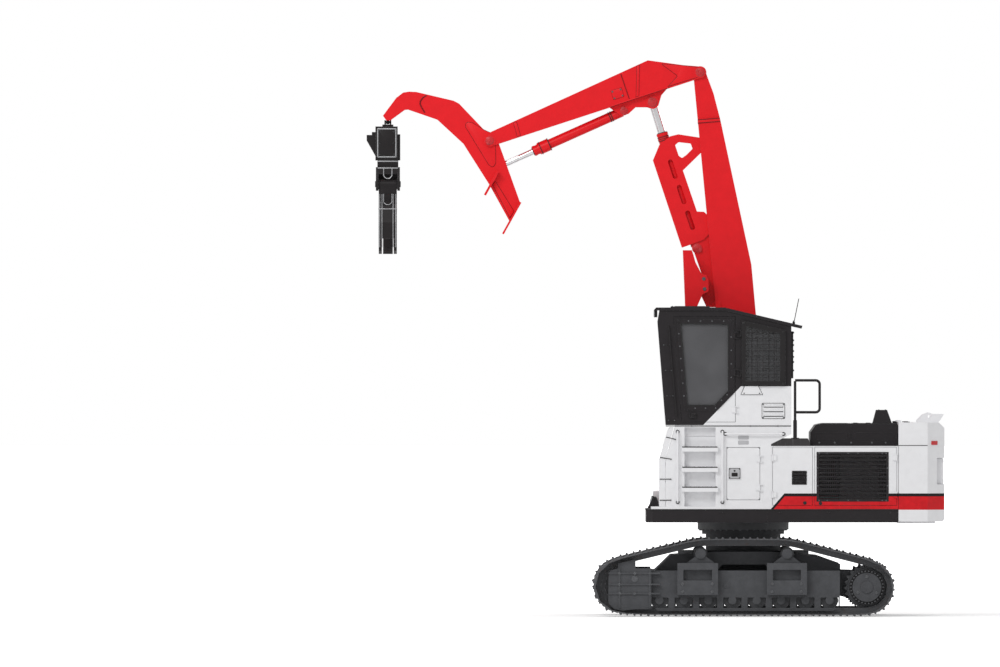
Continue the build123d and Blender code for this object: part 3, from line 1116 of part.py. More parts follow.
def heel_barrel():
    """Heel cylinder's barrel, with the stepped head through which its rod comes out."""
    body = barrel(HEEL_CYLINDER_BASE, HEEL_CYLINDER_PIN, 0, HEEL_BARREL_RADIUS, HEEL_ROD_RADIUS,
                  HEEL_BARREL_LENGTH, 68, EYE_HALF_WIDTH, HEEL_PIN_RADIUS)
    head = turned(HEEL_CYLINDER_BASE, HEEL_CYLINDER_PIN, 0,
                  (HEEL_BARREL_LENGTH - 270, HEEL_BARREL_LENGTH - 90, 95))
    head -= turned(HEEL_CYLINDER_BASE, HEEL_CYLINDER_PIN, 0,
                   (HEEL_BARREL_LENGTH - 280, HEEL_BARREL_LENGTH, HEEL_ROD_RADIUS + PIN_CLEARANCE))
    return body + head


def heel_rod():
    return rod(HEEL_CYLINDER_BASE, HEEL_CYLINDER_PIN, 0, HEEL_ROD_RADIUS, HEEL_TAIL, 70, 60)


def heel():
    """Live heel: two side plates closed along their backs, a solid nose and a rack for the log."""
    plate = 22
    inner = HEEL_HALF_WIDTH - plate
    body = side_plate(HEEL_OUTLINE, -HEEL_HALF_WIDTH, HEEL_HALF_WIDTH)
    hollow = Plane.XZ.offset(-inner) * inner_outline(HEEL_OUTLINE, plate)
    body -= extrude(hollow, 2 * inner)
    # the nose is a casting
    nose = [(-5700, 7400), (-4870, 7400), (-4870, 8200), (-5700, 8200)]
    body += side_plate(HEEL_OUTLINE, -HEEL_HALF_WIDTH, HEEL_HALF_WIDTH) & side_plate(nose, -300, 300)
    # open along the rear edge, where the cylinder's rod comes in
    body -= side_plate([(-3950, 7180), (-3700, 7330), (-3340, 6420), (-3560, 6420), (-3860, 6750)],
                       -inner, inner)
    body += cross_pin(STICK_END, -HEEL_HALF_WIDTH, HEEL_HALF_WIDTH, 100)
    body -= cross_pin(STICK_END, -300, 300, PIN_RADIUS + PIN_CLEARANCE)
    # slot of the grapple's link, and its pin
    body -= block(-5560, -5340, -LINK_HALF_WIDTH - MOVING_GAP, LINK_HALF_WIDTH + MOVING_GAP, 7500, 7755)
    body += cross_pin((GRAPPLE_X, LINK_PIN_Z), -60, 60, LINK_PIN_RADIUS)
    # rack at the lower end and a stop on the front edge
    body += side_plate([(-3405, 6335), (-3675, 5850), (-3700, 5864), (-3430, 6349)], -300, 300)
    stop = side_plate([(-3750, 6805), (-3950, 6445), (-3979, 6461), (-3779, 6821)],
                      HEEL_HALF_WIDTH, 300)
    return body + both_sides(stop)


# ---------------------------------------------------------------- grapple


def grapple_link():
    """Eye on the heel's pin above a cross pin that lets the grapple swing sideways."""
    eye = cross_pin((GRAPPLE_X, LINK_PIN_Z), -LINK_HALF_WIDTH, LINK_HALF_WIDTH, 42)
    stem = block(GRAPPLE_X - 25, GRAPPLE_X + 25, -LINK_HALF_WIDTH, LINK_HALF_WIDTH, HANGER_PIN_Z,
                 LINK_PIN_Z)
    foot = long_pin(0, HANGER_PIN_Z, GRAPPLE_X - 25, GRAPPLE_X + 25, LINK_HALF_WIDTH)
    body = eye + stem + foot
    body -= cross_pin((GRAPPLE_X, LINK_PIN_Z), -100, 100, LINK_PIN_RADIUS + PIN_CLEARANCE)
    return body - long_pin(0, HANGER_PIN_Z, GRAPPLE_X - 60, GRAPPLE_X + 60, 18 + PIN_CLEARANCE)


def grapple_hanger():
    """Collar of the rotator with two ears round the link's cross pin."""
    collar = Pos(GRAPPLE_X, 0, (HEAD_TOP_Z + 7535) / 2 + SEAT_GAP) * Cylinder(
        85, 7535 - HEAD_TOP_Z)
    ears = Part()
    for side in (-1, 1):
        low, high = sorted((GRAPPLE_X + side * 31, GRAPPLE_X + side * 53))
        ears += block(low, high, -30, 30, 7530, HANGER_PIN_Z) + long_pin(0, HANGER_PIN_Z, low, high, 30)
    return collar + ears + long_pin(0, HANGER_PIN_Z, GRAPPLE_X - 53, GRAPPLE_X + 53, 18)


def grapple_head():
    """Tall housing with its motor, the band below it and the frame that carries the arms."""
    front, rear = GRAPPLE_X - 190, GRAPPLE_X + 150
    head = block(front, rear, -165, 165, HEAD_LOW_Z, HEAD_TOP_Z)
    head += block(rear, rear + 40, -120, 120, HEAD_LOW_Z, 7385)
    motor = side_plate([(front, 7420), (-5700, 7420), (-5700, 7375), (-5780, 7375), (-5780, 7290),
                        (front, 7050)], -110, 110)
    head += motor
    head += block(front + 30, rear + 10, -190, 190, 6880, HEAD_LOW_Z)
    # frame plates in front of and behind the arms
    for low, high in ((-5638, -5600), (-5308, -5270)):
        head += front_plate([(-260, 6880), (260, 6880), (330, 6700), (300, 6520), (-300, 6520),
                             (-330, 6700)], low, high)
    head += block(-5600, -5308, -15, 15, 6540, 6880)
    for side in (-1, 1):
        head += long_pin(side * ARM_PIVOT_Y, ARM_PIVOT_Z, *ARM_PIN_X, ARM_PIN_RADIUS)
        head += block(-5600, -5308, side * 275 - 12, side * 275 + 12, 6775, 6880)
    return head


def arm_outline():
    """Side of an arm on the -Y side, as (y, z) points: a thinning hook round the log."""
    inner = [(-LOG_RADIUS * math.cos(math.radians(a)), LOG_Z + LOG_RADIUS * math.sin(math.radians(a)))
             for a, _ in ARM_SHAPE]
    outer = [(-(LOG_RADIUS + t) * math.cos(math.radians(a)),
              LOG_Z + (LOG_RADIUS + t) * math.sin(math.radians(a))) for a, t in ARM_SHAPE]
    shoulder = [(-ARM_PIVOT_Y - 75, ARM_PIVOT_Z + 40), (-ARM_PIVOT_Y + 20, ARM_PIVOT_Z + 78),
                (-ARM_PIVOT_Y + 75, ARM_PIVOT_Z - 20)]
    return outer[::-1] + shoulder + inner


def grapple_arm_near():
    """Arm with two blades, joined by a back plate, that lets the other arm pass between them."""
    arm = Part()
    for low, high in ((-5594, -5546), (-5364, -5316)):
        arm += front_plate(arm_outline(), low, high)
    back = [(-ARM_PIVOT_Y - 70, ARM_PIVOT_Z)]
    back += [(-(LOG_RADIUS + t - 2) * math.cos(math.radians(a)),
              LOG_Z + (LOG_RADIUS + t - 2) * math.sin(math.radians(a))) for a, t in ARM_SHAPE[:4]]
    back += [(-(LOG_RADIUS + t - 32) * math.cos(math.radians(a)),
              LOG_Z + (LOG_RADIUS + t - 32) * math.sin(math.radians(a)))
             for a, t in ARM_SHAPE[3::-1]]
    back.append((-ARM_PIVOT_Y - 40, ARM_PIVOT_Z))
    arm += front_plate(back, -5546, -5364)
    arm += long_pin(-ARM_PIVOT_Y, ARM_PIVOT_Z, -5594, -5316, ARM_HUB_RADIUS)
    return arm - long_pin(-ARM_PIVOT_Y, ARM_PIVOT_Z, *ARM_BORE_X, ARM_PIN_RADIUS + PIN_CLEARANCE)


def grapple_arm_far():
    """The other arm: one wide blade between the first arm's two."""
    arm = mirror(front_plate(arm_outline(), -5530, -5380), about=Plane.XZ)
    arm += long_pin(ARM_PIVOT_Y, ARM_PIVOT_Z, -5594, -5316, ARM_HUB_RADIUS)
    return arm - long_pin(ARM_PIVOT_Y, ARM_PIVOT_Z, *ARM_BORE_X, ARM_PIN_RADIUS + PIN_CLEARANCE)


# ---------------------------------------------------------------- pieces
def track_middles():
    return (("left", -TRACK_GAUGE / 2, -1), ("right", TRACK_GAUGE / 2, 1))


def pieces():
    """Every piece by its node name."""
    made = {"car_body": car_body()}
    for name, middle, side in track_middles():
        made[f"track_frame_{name}"] = track_frame(side)
        made[f"track_{name}"] = track_loop(side)
    made["idlers"] = [wheels_at(middle) for _, middle, _ in track_middles()]
    made["sprockets"] = [sprocket_at(middle) for _, middle, _ in track_middles()]
    made["final_drives"] = [final_drive_at(side) for _, _, side in track_middles()]
    made["bottom_rollers"] = [r for _, middle, _ in track_middles() for r in rollers_at(middle)]
    made["carrier_rollers"] = [r for _, _, side in track_middles() for r in carriers_at(side)]
    made["idler_guards"] = [idler_guard(side) for _, _, side in track_middles()]
    made["side_steps"] = [s for _, _, side in track_middles() for s in side_steps(side)]
    for make in (deck_frame, deck_skirts, riser, front_guard, ladder, handrails, cab_shell, cab_roof,
                 cab_glass, operator_seat, rear_handrail, antenna, work_lamps, engine_house,
                 walkway_cover, engine_block, counterweight, lifting_brackets, fuel_tank,
                 hydraulic_tank, tool_box, cab_door, cab_door_glass, tool_door, side_guard,
                 engine_door_front, engine_door_rear, pump_door, hood, air_intake, boom,
                 stick_cylinder_guard,
                 hoist_guard, hoist_barrels, hoist_rods, stick_barrel, stick_rod, stick, heel_barrel,
                 heel_rod, heel, grapple_link, grapple_hanger, grapple_head, grapple_arm_near,
                 grapple_arm_far):
        made[make.__name__] = make()
    return made


def save():
    os.makedirs("parts", exist_ok=True)
    for name, piece in pieces().items():
        solids = [solid for item in (piece if isinstance(piece, list) else [piece])
                  for solid in item.solids()]
        shape = solids[0] if len(solids) == 1 else Compound(children=solids)
        export_step(Pos(SWING_AXIS_X, 0, 0) * shape, f"parts/{name}.step")


if __name__ == "__main__":
    save()
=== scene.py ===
"""Looks of the tracked log loader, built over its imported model, in metres.

The sections follow the machine from the ground up: studio, undercarriage, swing ring and deck,
riser and ladder, cab, engine house, hood, counterweight, boom, stick, heel and grapple, and
last the operator's seat.
"""

import json
import math

import bmesh
import bpy
from mathutils import Matrix, Vector


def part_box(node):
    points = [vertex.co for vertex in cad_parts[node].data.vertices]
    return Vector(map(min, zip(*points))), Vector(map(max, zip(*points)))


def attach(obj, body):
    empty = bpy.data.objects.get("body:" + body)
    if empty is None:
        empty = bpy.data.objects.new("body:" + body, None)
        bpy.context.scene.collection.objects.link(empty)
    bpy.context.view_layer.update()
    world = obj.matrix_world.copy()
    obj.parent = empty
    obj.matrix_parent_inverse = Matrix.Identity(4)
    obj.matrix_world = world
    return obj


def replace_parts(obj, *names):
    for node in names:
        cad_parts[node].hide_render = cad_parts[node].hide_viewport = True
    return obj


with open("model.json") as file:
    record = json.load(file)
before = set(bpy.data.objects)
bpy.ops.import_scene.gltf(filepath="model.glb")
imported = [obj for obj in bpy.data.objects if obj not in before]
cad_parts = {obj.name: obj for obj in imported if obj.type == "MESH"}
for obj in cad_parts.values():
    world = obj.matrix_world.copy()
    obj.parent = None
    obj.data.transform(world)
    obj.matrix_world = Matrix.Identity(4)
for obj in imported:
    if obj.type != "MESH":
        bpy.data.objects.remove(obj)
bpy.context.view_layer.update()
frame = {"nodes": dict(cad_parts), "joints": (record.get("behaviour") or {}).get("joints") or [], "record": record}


# ---------------------------------------------------------------- studio
# A pale level floor under soft light from a large overhead softbox and a broad one on the cab's side.
# The camera stands far off on the cab's side with a long lens, so that the machine shows almost as a
# side elevation.

class Field:
    """One output of a shader node, used in expressions like a number."""

    def __init__(self, finish, output):
        self.finish = finish
        self.output = output

    def maths(self, operation, *values):
        """Adds a Math node on the values and gives its output."""
        return self.finish.node("ShaderNodeMath", {"operation": operation}, values)

    def __add__(self, other):
        return self.maths("ADD", self, other)

    def __radd__(self, other):
        return self.maths("ADD", other, self)

    def __sub__(self, other):
        return self.maths("SUBTRACT", self, other)

    def __rsub__(self, other):
        return self.maths("SUBTRACT", other, self)

    def __mul__(self, other):
        return self.maths("MULTIPLY", self, other)

    def __rmul__(self, other):
        return self.maths("MULTIPLY", other, self)

    def __truediv__(self, other):
        return self.maths("DIVIDE", self, other)

    def __gt__(self, other):
        return self.maths("GREATER_THAN", self, other)

    def __lt__(self, other):
        return self.maths("LESS_THAN", self, other)

    def __abs__(self):
        return self.maths("ABSOLUTE", self)

    def __mod__(self, other):
        return self.maths("FLOORED_MODULO", self, other)


class Finish:
    """A material whose shader is put together from fields."""

    def __init__(self, name):
        self.material = bpy.data.materials.new(name)
        self.material.use_nodes = True
        self.tree = self.material.node_tree
        self.shader = self.tree.nodes["Principled BSDF"]

    def node(self, kind, settings, values, output=0):
        """Adds a node with its settings, then its sockets by place or name, and returns one output."""
        made = self.tree.nodes.new(kind)
        for setting, value in settings.items():
            setattr(made, setting, value)
        named = values.items() if isinstance(values, dict) else enumerate(values)
        for socket, value in named:
            self.feed(made.inputs[socket], value)
        return Field(self, made.outputs[output])

    def feed(self, socket, value):
        """Links a field to a socket, or writes a plain value on it."""
        if isinstance(value, Field):
            self.tree.links.new(value.output, socket)
        else:
            socket.default_value = value

    def set(self, **sockets):
        """Sets the surface shader's own sockets, written with underscores for spaces."""
        for name, value in sockets.items():
            self.feed(self.shader.inputs[name.replace("_", " ")], value)
        return self

    def place(self):
        """Where a point of the surface is, in metres."""
        return self.node("ShaderNodeTexCoord", {}, {}, "Object")

    def along(self, axis):
        """One coordinate of the surface point: 0, 1 or 2 for X, Y or Z."""
        return self.node("ShaderNodeSeparateXYZ", {}, [self.place()], axis)

    def noise(self, scale, detail=4.0, rough=0.55, stretch=(1.0, 1.0, 1.0)):
        """Cloudy grain, `scale` cells to the metre, near 0.5 on average."""
        spot = self.node("ShaderNodeMapping", {}, {"Vector": self.place(), "Scale": stretch})
        return self.node("ShaderNodeTexNoise", {}, {"Vector": spot, "Scale": scale, "Detail": detail,
                                                    "Roughness": rough}, "Fac")

    def ramp(self, value, low, high):
        """0 below low, 1 above high, smooth between."""
        return self.node("ShaderNodeMapRange", {"interpolation_type": "SMOOTHSTEP", "clamp": True},
                         {"Value": value, "From Min": low, "From Max": high})

    def mix(self, share, first, second):
        """Colour that goes from first to second as share goes from 0 to 1."""
        return self.node("ShaderNodeMix", {"data_type": "RGBA"}, {0: share, 6: first, 7: second}, 2)

    def bump(self, height, distance, strength=1.0):
        """Relief on the surface, `distance` metres high where the height field is 1."""
        made = self.node("ShaderNodeBump", {}, {"Height": height, "Distance": distance,
                                                "Strength": strength})
        return self.set(Normal=made)


def light(name, place, target, width, height, power):
    """A softbox at a place, turned towards a target."""
    lamp = bpy.data.lights.new(name, "AREA")
    lamp.shape = "RECTANGLE"
    lamp.size, lamp.size_y = width, height
    lamp.energy = power
    holder = bpy.data.objects.new(name, lamp)
    holder.location = place
    holder.rotation_euler = (Vector(target) - Vector(place)).to_track_quat("-Z", "Y").to_euler()
    bpy.context.scene.collection.objects.link(holder)


UPPER_WORKS = (0.0, 0.0, 3.0)
light("key softbox", (-14.0, -24.0, 22.0), UPPER_WORKS, 16.0, 10.0, 3600.0)
light("overhead softbox", (0.0, 2.0, 24.0), UPPER_WORKS, 22.0, 14.0, 1300.0)
light("rim softbox", (14.0, 18.0, 12.0), (0.0, 0.0, 4.0), 12.0, 10.0, 900.0)

CAMERA_AWAY = 400.0
CAMERA_AIM = Vector((-2.378, 0.0, 4.327))
FRAME_WIDTH = 15.3          # of what the camera takes in at the machine's near side
NEAR_SIDE_Y = -1.45
camera = bpy.data.objects.new("camera", bpy.data.cameras.new("camera"))
camera.data.sensor_width = 36.0
camera.data.lens = camera.data.sensor_width * CAMERA_AWAY / FRAME_WIDTH
camera.data.clip_end = 2000.0
camera.location = CAMERA_AIM + Vector((0.0, NEAR_SIDE_Y - CAMERA_AWAY, 0.0))
camera.rotation_euler = (math.radians(90.0), 0.0, 0.0)
bpy.context.scene.collection.objects.link(camera)
bpy.context.scene.camera = camera
bpy.context.scene.view_settings.view_transform = "Standard"


def eyes_only(tree):
    """An output that is 1 for what the camera sees, also through glass, and 0 for what lights."""
    path = tree.nodes.new("ShaderNodeLightPath")
    either = tree.nodes.new("ShaderNodeMath")
    either.operation = "MAXIMUM"
    tree.links.new(path.outputs["Is Camera Ray"], either.inputs[0])
    tree.links.new(path.outputs["Is Transmission Ray"], either.inputs[1])
    return either.outputs[0]


SKY_LIGHT = 0.62            # on the machine; the camera sees the sky at 1, as plain white
WHITE_LIGHT = (1.0, 1.0, 1.0, 1.0)
world = bpy.data.worlds.new("studio")
bpy.context.scene.world = world
world.use_nodes = True
backdrop = world.node_tree.nodes["Background"]
backdrop.inputs["Color"].default_value = WHITE_LIGHT
level = world.node_tree.nodes.new("ShaderNodeMapRange")
level.inputs["To Min"].default_value = SKY_LIGHT
level.inputs["To Max"].default_value = 1.0
world.node_tree.links.new(eyes_only(world.node_tree), level.inputs["Value"])
world.node_tree.links.new(level.outputs[0], backdrop.inputs["Strength"])

FLOOR_REACH = 600.0
FLOOR_GLOW = 0.22           # under the machine, where its shadow has to show
GLOW_FROM, GLOW_FULL, GLOW_ADDED = 6.0, 16.0, 0.9
floor_mesh = bmesh.new()
bmesh.ops.create_grid(floor_mesh, x_segments=1, y_segments=1, size=FLOOR_REACH)
floor_data = bpy.data.meshes.new("floor")
floor_mesh.to_mesh(floor_data)
floor_mesh.free()
floor = bpy.data.objects.new("floor", floor_data)
bpy.context.scene.collection.objects.link(floor)
concrete = Finish("pale_floor")
concrete.set(Base_Color=(0.86, 0.86, 0.86, 1.0), Roughness=0.95, Emission_Color=WHITE_LIGHT,
             Specular_IOR_Level=0.1)
distance_out = concrete.node("ShaderNodeVectorMath", {"operation": "LENGTH"}, [concrete.place()],
                             "Value")
own_glow = FLOOR_GLOW + concrete.ramp(distance_out, GLOW_FROM, GLOW_FULL) * GLOW_ADDED
concrete.set(Emission_Strength=own_glow * Field(concrete, eyes_only(concrete.tree)))
floor_data.materials.append(concrete.material)


# ---------------------------------------------------------------- undercarriage steel
# Rolled and cast steel, painted charcoal at the works. The shoes, links and wheels lose their paint in
# the first hours, and the running faces are rubbed bright. The frames keep theirs, dulled by dust.

def linear(code):
    """The scene-linear colour of a paint chip given as six hexadecimal digits."""
    parts = [int(code[i:i + 2], 16) / 255 for i in (0, 2, 4)]
    return tuple(c / 12.92 if c <= 0.04045 else ((c + 0.055) / 1.055) ** 2.4 for c in parts) + (1.0,)


def grain(finish, colour, depth=0.12, scale=7.0):
    """A coat's colour, clouded a little lighter and darker, as handled paint is."""
    dark = tuple(c * (1.0 - depth) for c in colour[:3]) + (1.0,)
    pale = tuple(min(1.0, c * (1.0 + depth)) for c in colour[:3]) + (1.0,)
    return finish.mix(finish.ramp(finish.noise(scale, 5.0, 0.6), 0.3, 0.7), dark, pale)


def scuffed(finish, coat, bare, reach=0.012, amount=1.0):
    """A coat that is worn through to bare metal on convex edges, in patches."""
    edge = finish.node("ShaderNodeBevel", {"samples": 4}, {"Radius": reach}, 0)
    true = finish.node("ShaderNodeNewGeometry", {}, {}, "Normal")
    turn = finish.node("ShaderNodeVectorMath", {"operation": "DOT_PRODUCT"}, [edge, true], "Value")
    patch = finish.ramp(finish.noise(38.0, 6.0, 0.7), 0.42, 0.62)
    worn = finish.ramp(1.0 - turn, 0.02, 0.2) * patch * amount
    return finish.mix(worn, coat, bare), worn


def dress(node, finish):
    """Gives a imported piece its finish."""
    data = frame["nodes"][node].data
    data.materials.clear()
    data.materials.append(finish.material)


BARE_STEEL = linear("8a8a8c")


def painted(name, code, roughness=0.38, depth=0.06, wear=0.35):
    """Baked enamel over steel plate: faint orange peel, clouding and chipped edges."""
    finish = Finish(name)
    colour, worn = scuffed(finish, grain(finish, linear(code), depth), BARE_STEEL, 0.01, wear)
    cloud = finish.noise(3.0, 3.0)
    finish.set(Base_Color=colour, Roughness=cloud * 0.12 + (roughness - 0.06), Metallic=worn * 0.6,
               Specular_IOR_Level=0.2)
    return finish.bump(finish.noise(240.0, 2.0), 0.0004, 0.35)


frame_steel = painted("undercarriage_paint", "4f5053", 0.55, 0.1, 0.4)
for node in ("car_body", "track_frame_left", "track_frame_right", "idler_guards", "side_steps",
             "final_drives"):
    dress(node, frame_steel)

shoe_steel = Finish("track_shoe_steel")
rust = shoe_steel.ramp(shoe_steel.noise(16.0, 6.0, 0.65), 0.5, 0.72)
rusted = shoe_steel.mix(rust * 0.5, linear("535457"), linear("594840"))
shoe_colour, rubbed = scuffed(shoe_steel, rusted, linear("9a9a9c"), 0.01, 0.8)
shoe_steel.set(Base_Color=shoe_colour, Roughness=0.62 - rubbed * 0.25, Metallic=0.25 + rubbed * 0.6)
shoe_steel.bump(shoe_steel.noise(60.0, 5.0, 0.6), 0.0015, 0.5)
for node in ("track_left", "track_right"):
    dress(node, shoe_steel)

wheel_steel = Finish("roller_steel")
wheel_colour, wheel_rub = scuffed(wheel_steel, grain(wheel_steel, linear("47484b"), 0.15, 12.0),
                                  linear("a5a5a8"), 0.008, 0.9)
wheel_steel.set(Base_Color=wheel_colour, Roughness=0.5 - wheel_rub * 0.2,
                Metallic=0.3 + wheel_rub * 0.6)
wheel_steel.bump(wheel_steel.noise(90.0, 4.0), 0.0006, 0.4)
for node in ("idlers", "sprockets", "bottom_rollers", "carrier_rollers"):
    dress(node, wheel_steel)


# ---------------------------------------------------------------- final drives
# The planetary hubs outside the sprockets. A ring of thirty screws on an oily flange holds each hub's
# cover, three oil plugs sit in the cover and a turned cap closes the middle.

def turn_to(outward):
    """The turn that takes +Z to a direction."""
    return Vector(outward).to_track_quat("Z", "Y").to_matrix().to_4x4()


def corners_of(grown):
    """The new corners that an extrusion made."""
    return [part for part in grown if isinstance(part, bmesh.types.BMVert)]


def faces_of(grown):
    """The new faces that an extrusion made."""
    return [part for part in grown if isinstance(part, bmesh.types.BMFace)]


def finished(name, mesh, finish, body, smooth_below=35.0):
    """Makes a piece of a mesh, gives it its finish and hangs it on a body."""
    bmesh.ops.recalc_face_normals(mesh, faces=mesh.faces[:])
    data = bpy.data.meshes.new(name)
    mesh.to_mesh(data)
    mesh.free()
    data.materials.append(finish.material)
    data.shade_smooth()
    data.set_sharp_from_angle(angle=math.radians(smooth_below))
    piece = bpy.data.objects.new(name, data)
    bpy.context.scene.collection.objects.link(piece)
    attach(piece, body)
    return piece


def add_disc(mesh, place, outward, radius, height, rim=0.0, segments=32, top=None):
    """A turned disc standing on a face, with its outer rim broken."""
    stand = Matrix.Translation(place) @ turn_to(outward) @ Matrix.Translation((0, 0, height / 2))
    made = bmesh.ops.create_cone(mesh, cap_ends=True, segments=segments, radius1=radius,
                                 radius2=radius if top is None else top, depth=height, matrix=stand)
    if rim:
        way = Vector(outward).normalized()
        sides = {face for vert in made["verts"] for face in vert.link_faces}
        cap = max(sides, key=lambda face: face.calc_center_median().dot(way))
        bmesh.ops.bevel(mesh, geom=list(cap.edges), offset=rim, segments=2, profile=0.5,
                        affect="EDGES", material=-1)


def add_bolt(mesh, place, outward, across=0.030):
    """A hexagon head on its washer, for a screw of a given width across the flats."""
    add_disc(mesh, place, outward, across * 0.85, across * 0.12, segments=12)
    seat = Vector(place) + Vector(outward).normalized() * across * 0.12
    add_disc(mesh, seat, outward, across * 0.577, across * 0.5, segments=6, top=across * 0.53)


bolt_steel = Finish("screw_heads")
bolt_colour, bolt_worn = scuffed(bolt_steel, grain(bolt_steel, linear("5c5d60"), 0.2, 40.0),
                                 linear("b4b4b6"), 0.003, 0.8)
bolt_steel.set(Base_Color=bolt_colour, Roughness=0.42, Metallic=0.5 + bolt_worn * 0.4)
bolt_steel.bump(bolt_steel.noise(160.0, 3.0), 0.0003, 0.3)

drive_low, drive_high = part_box("final_drives")
drive_middle = (drive_low + drive_high) / 2
FLANGE_BACK = 0.035         # from the hub's outer face back to the flange of its cover
RING_RADII, RING_HEIGHT = (0.226, 0.272), 0.005
COVER_SCREWS, SCREW_CIRCLE = 30, 0.247
PLUGS, PLUG_CIRCLE, PLUG_HEIGHT = 3, 0.165, 0.006


def on_hub(radius, turn, y):
    """A point on a circle round the hub's axis."""
    return Vector((drive_middle.x + radius * math.cos(turn), y,
                   drive_middle.z + radius * math.sin(turn)))


hub_screws = bmesh.new()
hub_caps = bmesh.new()
hub_rings = bmesh.new()
for side in (-1, 1):
    outward = (0, side, 0)
    flange = side * (drive_high.y - FLANGE_BACK)
    stand = Matrix.Translation((drive_middle.x, flange, drive_middle.z)) @ turn_to(outward)
    rims = []
    for radius in RING_RADII:
        circle = bmesh.ops.create_circle(hub_rings, segments=60, radius=radius, matrix=stand)["verts"]
        rims += dict.fromkeys(edge for vert in circle for edge in vert.link_edges)
    band = bmesh.ops.bridge_loops(hub_rings, edges=rims)["faces"]
    grown = bmesh.ops.extrude_face_region(hub_rings, geom=band)["geom"]
    bmesh.ops.translate(hub_rings, vec=Vector(outward) * RING_HEIGHT, verts=corners_of(grown))
    for step in range(COVER_SCREWS):
        turn = math.tau * step / COVER_SCREWS
        add_bolt(hub_screws, on_hub(SCREW_CIRCLE, turn, flange), outward, 0.024)
    face = side * drive_high.y
    add_disc(hub_caps, on_hub(0.0, 0.0, face), outward, 0.095, 0.014, 0.004)
    for step in range(PLUGS):
        plug = on_hub(PLUG_CIRCLE, math.tau * (step / PLUGS + 0.25), face)
        add_disc(hub_screws, plug, outward, 0.026, PLUG_HEIGHT, 0.002, 24)
        add_bolt(hub_screws, plug + Vector(outward) * PLUG_HEIGHT, outward, 0.026)
finished("final_drive_screws", hub_screws, bolt_steel, "undercarriage")
finished("final_drive_caps", hub_caps, frame_steel, "undercarriage")
oily_steel = painted("oily_ring_steel", "1d1c1e", 0.45, 0.1, 0.4)
finished("final_drive_rings", hub_rings, oily_steel, "undercarriage")


# ---------------------------------------------------------------- track frame fittings
# Step boxes with a ribbed tread are screwed to the outside of the track frames. The idler guards are held
# through their straps, cast guards stand between the bottom rollers, and a small cover closes the grease
# point of each track adjuster.

swing = next(joint for joint in frame["joints"] if joint["name"] == "swing")
SWING_X = swing["pos_m"][0]


def at(x, y, z):
    """A point from workshop dimensions: millimetres from the swing axis, the middle and the ground."""
    return Vector((x / 1000 + SWING_X, y / 1000, z / 1000))


def side_points(outline, y):
    """Workshop points (x, z) on an upright plane at a distance y from the middle."""
    return [at(x, y, z) for x, z in outline]


def rectangle(left, right, low, high):
    """The four corners (across, up) of an upright rectangle."""
    return [(left, low), (right, low), (right, high), (left, high)]


def cut_face(mesh, outline, corner):
    """A flat face cut to an outline of points, with its corners rounded where they are given."""
    face = mesh.faces.new([mesh.verts.new(point) for point in outline])
    if corner:
        rounded = bmesh.ops.bevel(mesh, geom=face.verts[:], offset=corner, segments=4, profile=0.5,
                                  affect="VERTICES", material=-1)
        face = rounded["verts"][0].link_faces[0]
    return face


def add_plate(mesh, outline, outward, thickness, chamfer=0.002, corner=0.0):
    """A flat plate cut to an outline of points and standing out of the face they lie on."""
    base = cut_face(mesh, outline, corner)
    grown = bmesh.ops.extrude_face_region(mesh, geom=[base])["geom"]
    top = faces_of(grown)[0]
    bmesh.ops.translate(mesh, vec=Vector(outward).normalized() * thickness, verts=corners_of(grown))
    if chamfer:
        bmesh.ops.bevel(mesh, geom=list(top.edges), offset=chamfer, segments=2, profile=0.5,
                        affect="EDGES", material=-1)


def add_frame(mesh, outline, outward, width, thickness, chamfer=0.002, corner=0.0):
    """A flat frame of a given width, standing out of the face its outline lies on. Where `corner` is
    left at nought the width comes out as nothing, and only a thin upright edge is made."""
    base = cut_face(mesh, outline, corner)
    rim = bmesh.ops.inset_region(mesh, faces=[base], thickness=width, use_even_offset=True,
                                 use_boundary=True)["faces"]
    bmesh.ops.delete(mesh, geom=[base], context="FACES_ONLY")
    grown = bmesh.ops.extrude_face_region(mesh, geom=rim)["geom"]
    bmesh.ops.translate(mesh, vec=Vector(outward).normalized() * thickness, verts=corners_of(grown))
    top = set(faces_of(grown))
    rim_edges = {edge for face in top for edge in face.edges
                 if len([near for near in edge.link_faces if near in top]) == 1}
    if chamfer:
        bmesh.ops.bevel(mesh, geom=list(rim_edges), offset=chamfer, segments=2, profile=0.5,
                        affect="EDGES", material=-1)


def add_block(mesh, middle, length, width, height):
    """A square block, to be bevelled with the others of its piece."""
    bmesh.ops.create_cube(mesh, size=1.0, matrix=Matrix.Translation(middle)
                          @ Matrix.Diagonal((length, width, height, 1.0)))


